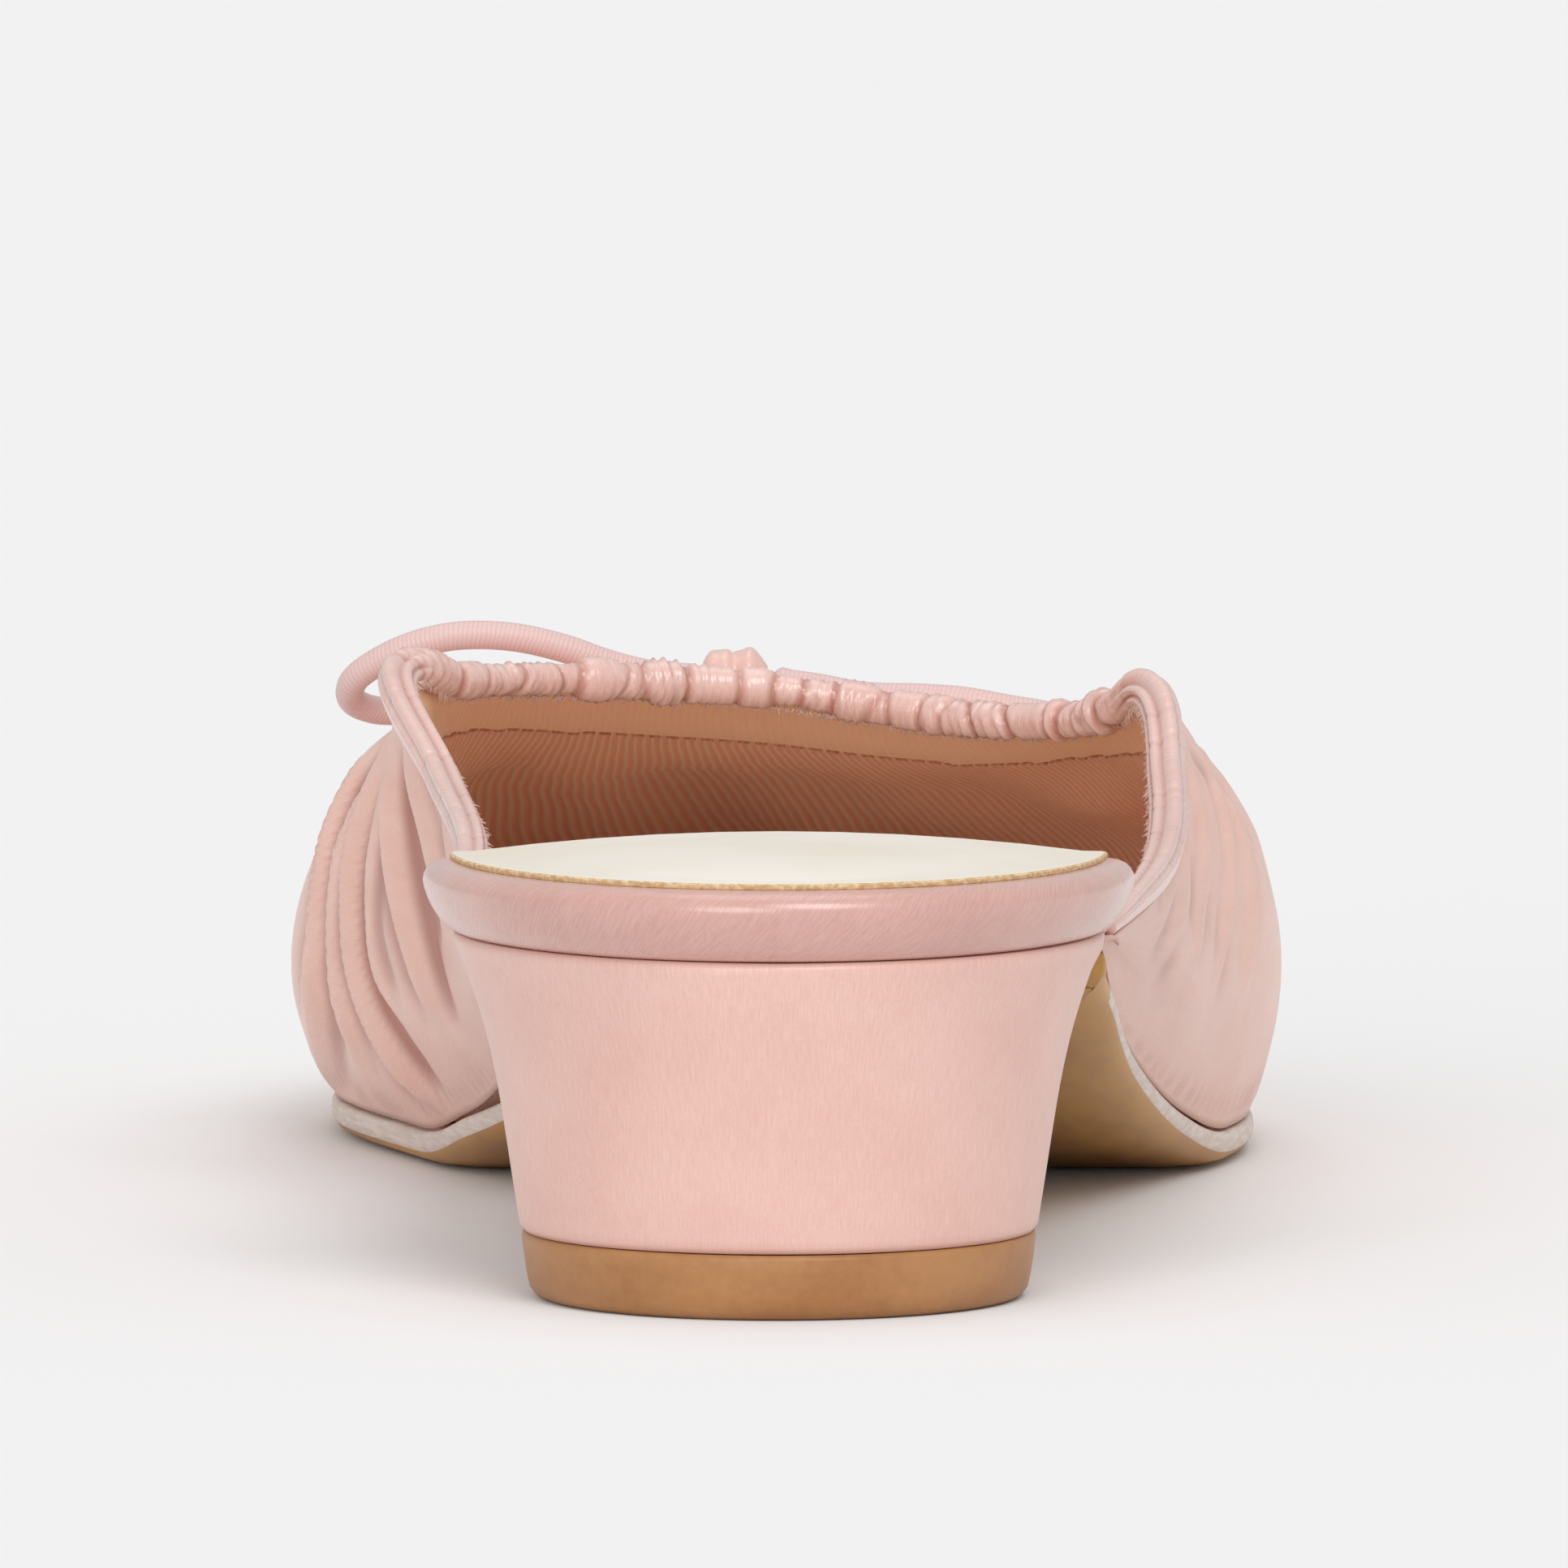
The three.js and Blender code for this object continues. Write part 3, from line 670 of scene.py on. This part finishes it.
def pleatRelief(line, down, topAlong, shape):  # gathers that run down from the drawstring
    chance = random.Random(shape["seed"])
    relief = np.zeros(line.shape)
    spot = 6.0
    while spot < topAlong.max() - 6:
        here = np.interp(spot, topAlong[:, 0], line[:, 0])
        front = float(ease(2.6, 3.8, here) * (1 - ease(10.4, 11.4, here)))
        height = chance.uniform(*shape["pleatHeight"]) * (0.3 + 0.7 * front)
        reach = chance.uniform(*shape["pleatReach"]) * (0.55 + 0.45 * front)
        width = chance.uniform(0.9, 1.5)
        drift = chance.uniform(-3, 3)
        aside = topAlong - spot - drift * down
        broad = width * (1 + 1.2 * down)
        fade = 1 - ease(0.25 * reach, reach, down)
        relief += height * fade * (hump(aside, 0, broad) - 0.4 * hump(aside, 0, 2.4 * broad))
        spot += chance.uniform(*shape["pleatPitch"]) * (1.5 - 0.5 * front)
    return relief


def upperRelief(line, down, points, shape):
    topAlong = np.repeat(arcLength(points[:, 0])[:, None], points.shape[1], 1)
    footAlong = np.repeat(arcLength(points[:, -1])[:, None], points.shape[1], 1)
    inside = ease(0.1, 1.2, line) * (1 - ease(lastLine - 1.2, lastLine - 0.1, line))
    folds = foldRelief(points, shape["folds"])
    pleats = pleatRelief(line, down, topAlong, shape)
    swing = 0.35 * np.sin(footAlong / 9.3 + 2.2 * down) * np.sin(footAlong / 14.1 + 1.1)
    tucks = 2 * np.pi * footAlong / shape["lastingPitch"] + np.sin(footAlong / 5)
    lasting = shape["lastingHeight"] * np.sin(tucks) * ease(0.9, 0.985, down)
    return (folds + pleats + swing * np.sin(np.pi * down) + lasting) * (0.15 + 0.85 * inside), folds


def makeUpper(shape):
    line, down = np.meshgrid(
        np.linspace(0, lastLine, shape["across"]), np.linspace(0, 1, shape["down"]), indexing="ij"
    )
    points, out = onUpper(line, down)[:2]
    relief = upperRelief(line, down, points, shape)[0]
    relief = relief * ease(-0.03, 0.05, down) * (1 - 0.8 * ease(0.96, 1, down))
    shaped = points + out * relief[..., None]
    # painted shade: the crease mark grows where the relief sinks, so fold and pleat valleys are painted darker
    marks = {"shadedCrease": np.clip(-relief * 0.9, 0, 1.2)}
    mesh = gridMesh("upperCloth", shaped, lengthUv(points), marks)
    piece = addPiece("upperCloth", mesh, [upperSatin], ["upper"])
    wall = piece.modifiers.new("clothThickness", "SOLIDIFY")
    wall.thickness = shape["thick"] * mm
    wall.offset = -1


makeUpper(upperShape)
print("upper gathered")


# twill lining and the facing strip under the topline
liningShape = {
    "across": 300, "down": 48, "inside": 1.45, "thick": 0.35, "wrinkle": 1.1,
    "facing": 8.0, "facingMore": 3.0, "sag": 2.0, "step": 0.3,
}


def facingEdge(line, shape):  # depth of the facing strip and how far it hangs off the wall
    front = ease(2.4, 4.2, line) * (1 - ease(9.8, 11.4, line))
    return shape["facing"] + shape["facingMore"] * front, shape["sag"] * front


def makeLining(shape, cloth):
    line, down = np.meshgrid(
        np.linspace(lastLine - 0.3, 0.1, shape["across"]), np.linspace(0, 0.995, shape["down"]), indexing="ij"
    )
    points, out = onUpper(line, down)[:2]
    folds = upperRelief(line[::-1], down, points[::-1], cloth)[1][::-1]
    steps = np.linalg.norm(np.diff(points, axis=1), axis=2)
    depth = np.column_stack((np.zeros(shape["across"]), np.cumsum(steps, 1)))
    reach, sag = facingEdge(line, shape)
    facing = 1 - ease(reach - 0.2, reach + 0.2, depth)
    hang = sag * np.clip(depth / reach, 0, 1) * (1 - ease(reach + 3, reach + 36, depth))
    loose = 1.0 + np.sin(line * 2.3 + down * 6) * np.sin(line * 1.3 - down * 8 + 1)
    loose = shape["wrinkle"] * (loose + 0.4 * np.sin(line * 5.1 - down * 12 + 0.6)) * ease(0.1, 0.35, down)
    loose = loose * (1 - ease(0.75, 0.95, down)) * ease(1.5, 3, line) * (1 - ease(11.5, 12.8, line))
    slack = -np.minimum(folds, 0) * 0.9
    inward = shape["inside"] + facing * shape["step"] + slack + loose + hang
    inward = inward * (0.75 + 0.25 * ease(0, 0.04, down))
    shaped = points - out * inward[..., None]
    along = arcLength(points[:, 4])
    uv = np.stack((np.repeat(along[:, None], shape["down"], 1), depth), -1)
    mesh = gridMesh("upperLining", shaped, uv, {"reach": reach})
    piece = addPiece("upperLining", mesh, [liningTwill])
    wall = piece.modifiers.new("liningThickness", "SOLIDIFY")
    wall.thickness = shape["thick"] * mm
    wall.offset = -1
    inner = shaped - out * 0.1
    deep = reach[:, 0] + 0.4
    seam = np.array([[np.interp(deep[k], depth[k], inner[k, :, a]) for a in range(3)] for k in range(len(deep))])
    return seam[(line[:, 0] > 2.2) & (line[:, 0] < 11.8)]


facingSeam = makeLining(liningShape, upperShape)
print("lining set in")


# drawstring casing
casingShape = {
    "steps": 760, "turns": 37, "seed": 3, "seat": 0.95,
    "radius": [(0, 0.7), (0.03, 1.1), (0.14, 1.6), (0.3, 1.75), (0.36, 1.8), (0.64, 1.8), (0.7, 1.75), (0.86, 1.7),
               (0.97, 1.2), (1, 0.7)],
    "lumps": (1.5, 6.0), "lumpDepth": 0.3, "lumpGrowth": (0.74, 1.2),
    "foldAngle": 64, "foldWidth": 21, "foldHeight": 0.32, "valleyAngle": 106, "valleyDepth": 0.36,
    "stitchAngle": 160, "stitchDepth": 0.24, "gatherHeight": 0.085,
}


def casingPath(shape):
    where, length = evenly(topLine, lastLine, shape["steps"])
    point, out, up = onUpper(where, 0.0)
    along = np.linspace(0, 1, shape["steps"])
    rows = np.array(shape["radius"], float)
    radius = through(rows[:, 0], rows[:, 1])(along)
    centres = point - out * lastShape["wall"] / 2 + up * (radius * shape["seat"])[:, None]
    return where, length, along, radius, centres, out, up


def makeCasing(shape):
    where, length, along, radius, centres, out, up = casingPath(shape)
    chance = random.Random(shape["seed"])
    distance = along * length
    angle = np.linspace(0, 2 * np.pi, shape["turns"])
    throat = ease(2.9, 3.5, where) * (1 - ease(10.5, 11.0, where))
    pull = np.zeros((shape["steps"], shape["turns"]))
    girth = np.ones(shape["steps"])
    edge = 3.0
    while edge < length - 2:
        here = float(np.interp(edge, distance, throat))
        pitch = chance.uniform(*shape["lumps"]) * (1 if here > 0.5 else 2.2)
        tilt, phase = chance.uniform(-0.9, 0.9), chance.uniform(0, 6.28)
        width, deep = chance.uniform(0.35, 0.6), chance.uniform(0.55, 1.25)
        shadedCrease = edge + tilt * np.sin(angle + phase)
        pull += (0.2 + 0.8 * here) * deep * hump(distance[:, None], shadedCrease[None], width)
        girth += (chance.uniform(*shape["lumpGrowth"]) - 1) * hump(distance, edge + pitch / 2, pitch * 0.45) * here
        edge += pitch
    swing = 1.6 * np.sin(angle * 2)[None] + 2.5 * np.sin(distance * 0.9)[:, None]
    ripple = np.sin(distance[:, None] * 5.3 + swing) + 0.7 * np.sin(distance[:, None] * 8.9 - 1.3 * swing + 1)
    ripple = shape["gatherHeight"] * ripple * (0.6 + 0.4 * np.sin(distance * 0.37))[:, None]
    turn = np.degrees(angle)[None]
    side = (1 - throat)[:, None]
    form = shape["foldHeight"] * hump(turn, shape["foldAngle"], shape["foldWidth"])
    form = form - shape["valleyDepth"] * hump(turn, shape["valleyAngle"], 12)
    form = form - shape["stitchDepth"] * hump(turn, shape["stitchAngle"], 9)
    form = form + 0.1 * hump(turn, 20, 16) - 0.12 * hump(turn, 38, 9)
    shrink = 1 - shape["lumpDepth"] * np.minimum(pull, 1.5) * (0.65 + 0.35 * np.sin(angle)[None])
    skin = radius[:, None] * girth[:, None] * (shrink + ripple * (0.06 + 0.94 * throat[:, None]) + form * side)
    points = tubePoints(centres, out, up, skin)[:, ::-1]
    uvAlong = np.concatenate(([0], distance, [length]))
    around = np.linspace(2 * np.pi * 1.8, 0, shape["turns"])
    uv = np.stack(np.meshgrid(uvAlong, around, indexing="ij"), -1)
    # painted shade in the pucker creases, the inner valley, the stitch groove and the small groove beside the fold
    shadeMask = np.minimum(pull, 1.2) * 0.8 + side * 1.1 * hump(turn, shape["stitchAngle"], 7)
    shadeMask = shadeMask + side * 0.6 * hump(turn, shape["valleyAngle"], 9) + side * 0.4 * hump(turn, 38, 7)
    shadeMask = np.concatenate((shadeMask[:1], shadeMask, shadeMask[-1:]))[:, ::-1]
    mesh = gridMesh("toplineRoll", points, uv, {"shadedCrease": shadeMask}, merge=True)
    addPiece("toplineRoll", mesh, [casingSatin], ["topline_casing"])


makeCasing(casingShape)
print("casing puckered")


# frayed edge under the casing and the stitches of the facing
frayShape = {"count": 1500, "seed": 21, "length": (0.35, 1.1), "thick": 0.075, "angle": 205}
stitchShape = {"pitch": 1.7, "length": 1.15, "thick": 0.17}


def tapered(bm, start, end, thick, tip):  # a fine fibre between two points in table millimetres
    a, b = Vector(place(start)), Vector(place(end))
    turned = (b - a).to_track_quat("Z", "Y").to_matrix().to_4x4()
    where = Matrix.Translation((a + b) / 2) @ turned
    bmesh.ops.create_cone(
        bm, cap_ends=True, segments=5, radius1=thick * mm, radius2=tip * mm, depth=(b - a).length, matrix=where,
    )


def bmeshPiece(name, bm, finishes):
    for face in bm.faces:
        face.smooth = True
    mesh = bpy.data.meshes.new(name)
    bm.to_mesh(mesh)
    bm.free()
    return addPiece(name, mesh, finishes)


def makeFray(shape, casing):
    radius, centres, out, up = casingPath(casing)[3:]
    chance = random.Random(shape["seed"])
    bm = bmesh.new()
    for fibre in range(shape["count"]):
        k = chance.randrange(12, casing["steps"] - 12)
        turn = math.radians(shape["angle"] + chance.uniform(-9, 9))
        ahead = unit(centres[k + 1] - centres[k - 1])
        away = math.cos(turn) * out[k] + math.sin(turn) * up[k]
        start = centres[k] + away * radius[k] * 0.9
        reach = chance.uniform(*shape["length"])
        lean = unit(away * 0.7 - up[k] * chance.uniform(0.1, 0.9) + ahead * chance.uniform(-1.1, 1.1))
        tapered(bm, start, start + lean * reach, shape["thick"], shape["thick"] * 0.35)
    bmeshPiece("frayedEdge", bm, [frayThread])


def makeFacingStitches(shape, route):
    length = arcLength(route)
    bm = bmesh.new()
    for start in np.arange(0, length[-1] - shape["pitch"], shape["pitch"]):
        a = [np.interp(start, length, route[:, k]) for k in range(3)]
        b = [np.interp(start + shape["length"], length, route[:, k]) for k in range(3)]
        tapered(bm, a, b, shape["thick"], shape["thick"] * 0.8)
    bmeshPiece("facingStitches", bm, [seamThread])


makeFray(frayShape, casingShape)
makeFacingStitches(stitchShape, facingSeam)
print("edges frayed and stitched")


# slabs on a plan outline: footbed, sock, outsole, lift
def insetPlan(plan, inset):
    along = unit(np.roll(plan, -1, 0) - np.roll(plan, 1, 0))
    return plan + np.stack((-along[:, 1], along[:, 0], 0 * along[:, 0]), -1) * inset


def bedPlan(steps):
    clear = lastShape["wall"] + lastShape["seam"]
    rows = np.arange(1, lastLine, dtype=float)
    along = unit(footLine(rows + nudge) - footLine(rows - nudge))
    inFoot = footLine(rows) + np.stack((along[:, 1], -along[:, 0], 0 * along[:, 0]), -1) * clear
    turn = np.array([0, 0.25, 0.5, 0.75, 1]) * math.pi / 2
    wide, long = lastShape["seatHalfWidth"], lastShape["seatCurve"]
    outer = np.column_stack((wide * np.sin(turn), long * (1 - np.cos(turn)), 0 * turn))
    inner = outer[:0:-1] * (-1, 1, 1)
    waist = np.array(lastShape["waist"], float)
    outerWaist = np.column_stack((waist[:, 1], waist[:, 0], 0 * waist[:, 0]))
    innerWaist = np.column_stack((waist[:, 2], waist[:, 0], 0 * waist[:, 0]))[::-1]
    corners = np.vstack((outer, outerWaist, inFoot[::-1], innerWaist, inner))
    return curveThrough(corners, True)(np.arange(len(corners) * steps) / steps)


def slabPoints(plan, edge, lowAt, thickAt, shares=(1, 0.8, 0.6, 0.4, 0.2), crownAt=None):
    count = len(plan)
    facing = (-np.arange(count)) % count
    rows = []
    for inset, share in edge:
        row = insetPlan(plan, inset)
        row[:, 2] = lowAt(row[:, 1]) + share * thickAt(row[:, 1])
        rows.append(row)

    def closing(row, share, crown=None):
        middle = (row + row[facing]) / 2
        made = []
        for t in shares:
            line = row + (middle - row) * t
            line[:, 2] = lowAt(line[:, 1]) + share * thickAt(line[:, 1])
            if crown:
                half = np.linalg.norm(row - middle, axis=1)
                line[:, 2] += crown(line[:, 1]) * (1 - (1 - t) ** 2) * ease(0, 26, half)
            made.append(line)
        return made

    rows = closing(rows[0], edge[0][1]) + rows + closing(rows[-1], edge[-1][1], crownAt)[::-1]
    points = np.stack(rows, 1)
    return np.concatenate((points, points[:1]))


bedShape = {
    "steps": 14,
    "edge": [
        (3.2, 0), (2.5, 0.02), (1.9, 0.07), (1.35, 0.18), (0.8, 0.32), (0.4, 0.46), (0.12, 0.6), (0.02, 0.69),
        (0.1, 0.78), (0.36, 0.86), (0.8, 0.93), (1.5, 0.98), (2.4, 1),
    ],
}
sockShape = {
    "edge": [(2.4, 0), (2.35, 0.3), (2.35, 0.62), (2.5, 0.88), (2.9, 1), (4.5, 1.05)],
    "thick": 0.55, "crown": 1.7,
}
soleShape = {
    "steps": 14, "margin": 0.5, "tuckInner": (88, 130), "tuckOuter": (56, 70), "tuckBy": (4.6, 0.6),
    "paleFrom": (104, 62),  # along, on the inner and the outer side
    "edge": [
        (7, 0), (4.5, 0.02), (2.2, 0.1), (1.1, 0.19), (0.5, 0.3), (0.12, 0.43), (0, 0.55), (0, 0.7), (0.05, 0.85),
        (0.2, 0.95), (0.5, 1),
    ],
}
liftShape = {
    "thick": 5.7,
    "edge": [(2.3, 0), (1.7, 0.02), (1.2, 0.07), (0.8, 0.16), (0.5, 0.4), (0.25, 0.7), (0.1, 0.92), (0.3, 1)],
}


def makeBed(shape):
    plan = bedPlan(shape["steps"])
    points = slabPoints(plan, shape["edge"], bottomAt, bedThickAt)
    mesh = gridMesh("footbedWrap", points, lengthUv(points), merge=True)
    addPiece("footbedWrap", mesh, [shadedRimSatin], ["footbed"])


def makeSock(shape, bed):
    plan = bedPlan(bed["steps"])
    lowAt = lambda y: bottomAt(y) + bedThickAt(y) + 0.02
    crownAt = lambda y: shape["crown"] * (0.25 + 0.75 * (1 - ease(48, 95, y)))
    points = slabPoints(plan, shape["edge"], lowAt, lambda y: shape["thick"] + 0 * y, crownAt=crownAt)
    kinds = [0] * (points.shape[1] - 1)
    for k in range(5, 8):
        kinds[k] = 1
    mesh = gridMesh("sockLining", points, lengthUv(points), None, kinds, True)
    mesh.set_sharp_from_angle(angle=math.radians(40))
    addPiece("sockLining", mesh, [creamLeather("sockCream"), rawEdge("sockRawEdge")], ["sock"])


def makeSole(shape):
    line = np.linspace(lastLine, 0, lastLine * shape["steps"] + 1)
    rim = footLine(line)
    rim = rim[rim[:, 1] > lastShape["breast"] + 4]
    flanks = []
    for first in (rim[0], rim[-1]):
        ahead = np.linspace(lastShape["breast"], first[1], 10, endpoint=False)
        flanks.append(np.column_stack((np.full(10, first[0]), ahead, np.zeros(10))))
    outer, inner = flanks[0], flanks[1][::-1]
    back = np.array([[(rim[0, 0] + rim[-1, 0]) / 2, lastShape["breast"], 0]])
    across = np.linspace(back[0], outer[0], 13)[1:-1]
    returning = np.linspace(inner[-1], back[0], 13)[1:-1]
    plan = np.vstack((back, across, outer, rim, inner, returning))
    inside = plan[:, 0] < 0
    inner = shape["tuckBy"][0] * (1 - ease(*shape["tuckInner"], plan[:, 1]))
    outer = shape["tuckBy"][1] * (1 - ease(*shape["tuckOuter"], plan[:, 1]))
    plan[:, 0] -= np.clip(plan[:, 0] / 10, -1, 1) * np.where(inside, inner, outer)
    plan = insetPlan(plan, -shape["margin"])
    level = lastShape["soleThick"] + lastShape["seam"]
    lowAt = lambda y: bottomAt(y) - level
    points = slabPoints(plan, shape["edge"], lowAt, lambda y: lastShape["soleThick"] + 0 * y)
    kinds = np.zeros((points.shape[0] - 1, points.shape[1] - 1), int)
    seen = points[:-1, 12, 1] > np.where(points[:-1, 12, 0] < 0, shape["paleFrom"][0], shape["paleFrom"][1])
    kinds[seen, 10:] = 1
    mesh = gridMesh("outsolePlate", points, lengthUv(points), None, kinds, True)
    addPiece("outsolePlate", mesh, [soleTan("soleTan"), soleEdgePale("soleEdgePale")], ["outsole"])


makeBed(bedShape)
makeSock(sockShape, bedShape)
makeSole(soleShape)
print("footbed, sock and outsole laid")


# heel block and its lift
heelShape = {
    "rows": [  # level, half width, back, breast, length of the rounded back
        (0, 22.3, 5.6, 43.0, 23), (0.15, 22.9, 5.2, 43.4, 24), (0.32, 23.6, 4.8, 44.1, 26),
        (0.48, 24.3, 4.3, 45.2, 28), (0.65, 25.3, 3.7, 47.0, 31), (0.84, 26.9, 2.9, 49.9, 35),
        (1, 28.6, 2.3, 53.2, 38),
    ],
    "levels": 44, "curve": 40, "ease": 2.0,
}


def heelPlan(halfWidth, back, breast, curve, shape):
    angle = np.arange(1, shape["curve"] + 1) / shape["curve"] * math.pi / 2
    side = np.column_stack((halfWidth * np.sin(angle), back + curve * (1 - np.cos(angle))))
    corner = np.linspace(0, math.pi / 2, 9)
    soft = shape["ease"]
    turn = np.column_stack((
        halfWidth - soft + soft * np.cos(corner), breast - soft + soft * np.sin(corner),
    ))
    front = np.column_stack((np.linspace(halfWidth - soft, 0, 12)[1:-1], np.full(10, breast)))
    outer = np.vstack((side, turn, front))
    inner = outer[::-1] * (-1, 1)
    plan = np.vstack(([[0, back]], outer, [[0, breast]], inner))
    return np.column_stack((plan, np.zeros(len(plan))))


def makeHeel(shape, lift):
    rows = np.array(shape["rows"], float)
    level = np.linspace(0, 1, shape["levels"])
    sizes = np.stack([through(rows[:, 0], rows[:, k])(level) for k in range(1, 5)], 1)
    low = lift["thick"] + 0.12
    loops = []
    for share, size in zip(level, sizes):
        loop = heelPlan(*size, shape)
        if share in (level[0], level[-1]):
            loop = insetPlan(loop, 0.35)
        loop[:, 2] = low + share * (bottomAt(loop[:, 1]) - 0.05 - low)
        loops.append(loop)
    count = len(loops[0])
    facing = (-np.arange(count)) % count

    def middle(loop, t):
        return loop + ((loop + loop[facing]) / 2 - loop) * t

    loops = [middle(loops[0], 1), middle(loops[0], 0.5), *loops, middle(loops[-1], 0.5), middle(loops[-1], 1)]
    points = np.stack(loops, 1)
    points = np.concatenate((points, points[:1]))
    mesh = gridMesh("heelCover", points, lengthUv(points), merge=True)
    addPiece("heelCover", mesh, [heelSatin], ["heel_block"])
    plan = heelPlan(*rows[0, 1:], shape)
    points = slabPoints(plan, lift["edge"], lambda y: 0 * y, lambda y: lift["thick"] + 0 * y)
    mesh = gridMesh("heelLift", points, lengthUv(points), merge=True)
    addPiece("heelLift", mesh, [tanRubber("liftRubber")], ["top_lift"])


makeHeel(heelShape, liftShape)
print("heel and lift set")


# floor and light
studio = {
    "floor": (0.87, 0.87, 0.87), "floorSize": 30, "sky": 0.6,
    "suns": [  # turn about the shoe, height, strength, softness in degrees
        (290, 42, 0.9, 30),
        (250, 20, 0.6, 30),
        (100, 78, 0.3, 40),
    ],
}


def addSun(name, turn, height, strength, soft):
    light = bpy.data.lights.new(name, "SUN")
    light.energy = strength
    light.angle = math.radians(soft)
    lamp = bpy.data.objects.new(name, light)
    bpy.context.scene.collection.objects.link(lamp)
    lamp.rotation_euler = (0, math.radians(90 - height), math.radians(turn))


def makeStudio(look):
    bm = bmesh.new()
    bmesh.ops.create_grid(bm, x_segments=8, y_segments=8, size=look["floorSize"])
    mesh = bpy.data.meshes.new("paleFloor")
    bm.to_mesh(mesh)
    bm.free()
    paint = Paint("floorPaper")
    shader = paint.node("ShaderNodeBsdfDiffuse", None, {"Color": (*look["floor"], 1), "Roughness": 0.3})
    paint.node("ShaderNodeOutputMaterial", None, {"Surface": shader})
    mesh.materials.append(paint.material)
    floor = bpy.data.objects.new("paleFloor", mesh)
    bpy.context.scene.collection.objects.link(floor)
    world = bpy.context.scene.world or bpy.data.worlds.new("studioSky")
    bpy.context.scene.world = world
    world.use_nodes = True
    sky = world.node_tree.nodes["Background"]
    sky.inputs["Color"].default_value = (1, 1, 1, 1)
    sky.inputs["Strength"].default_value = look["sky"]
    for number, row in enumerate(look["suns"]):
        addSun("softLight" + str(number), *row)
    bpy.context.scene.view_settings.view_transform = "Standard"


makeStudio(studio)
print("studio lit")
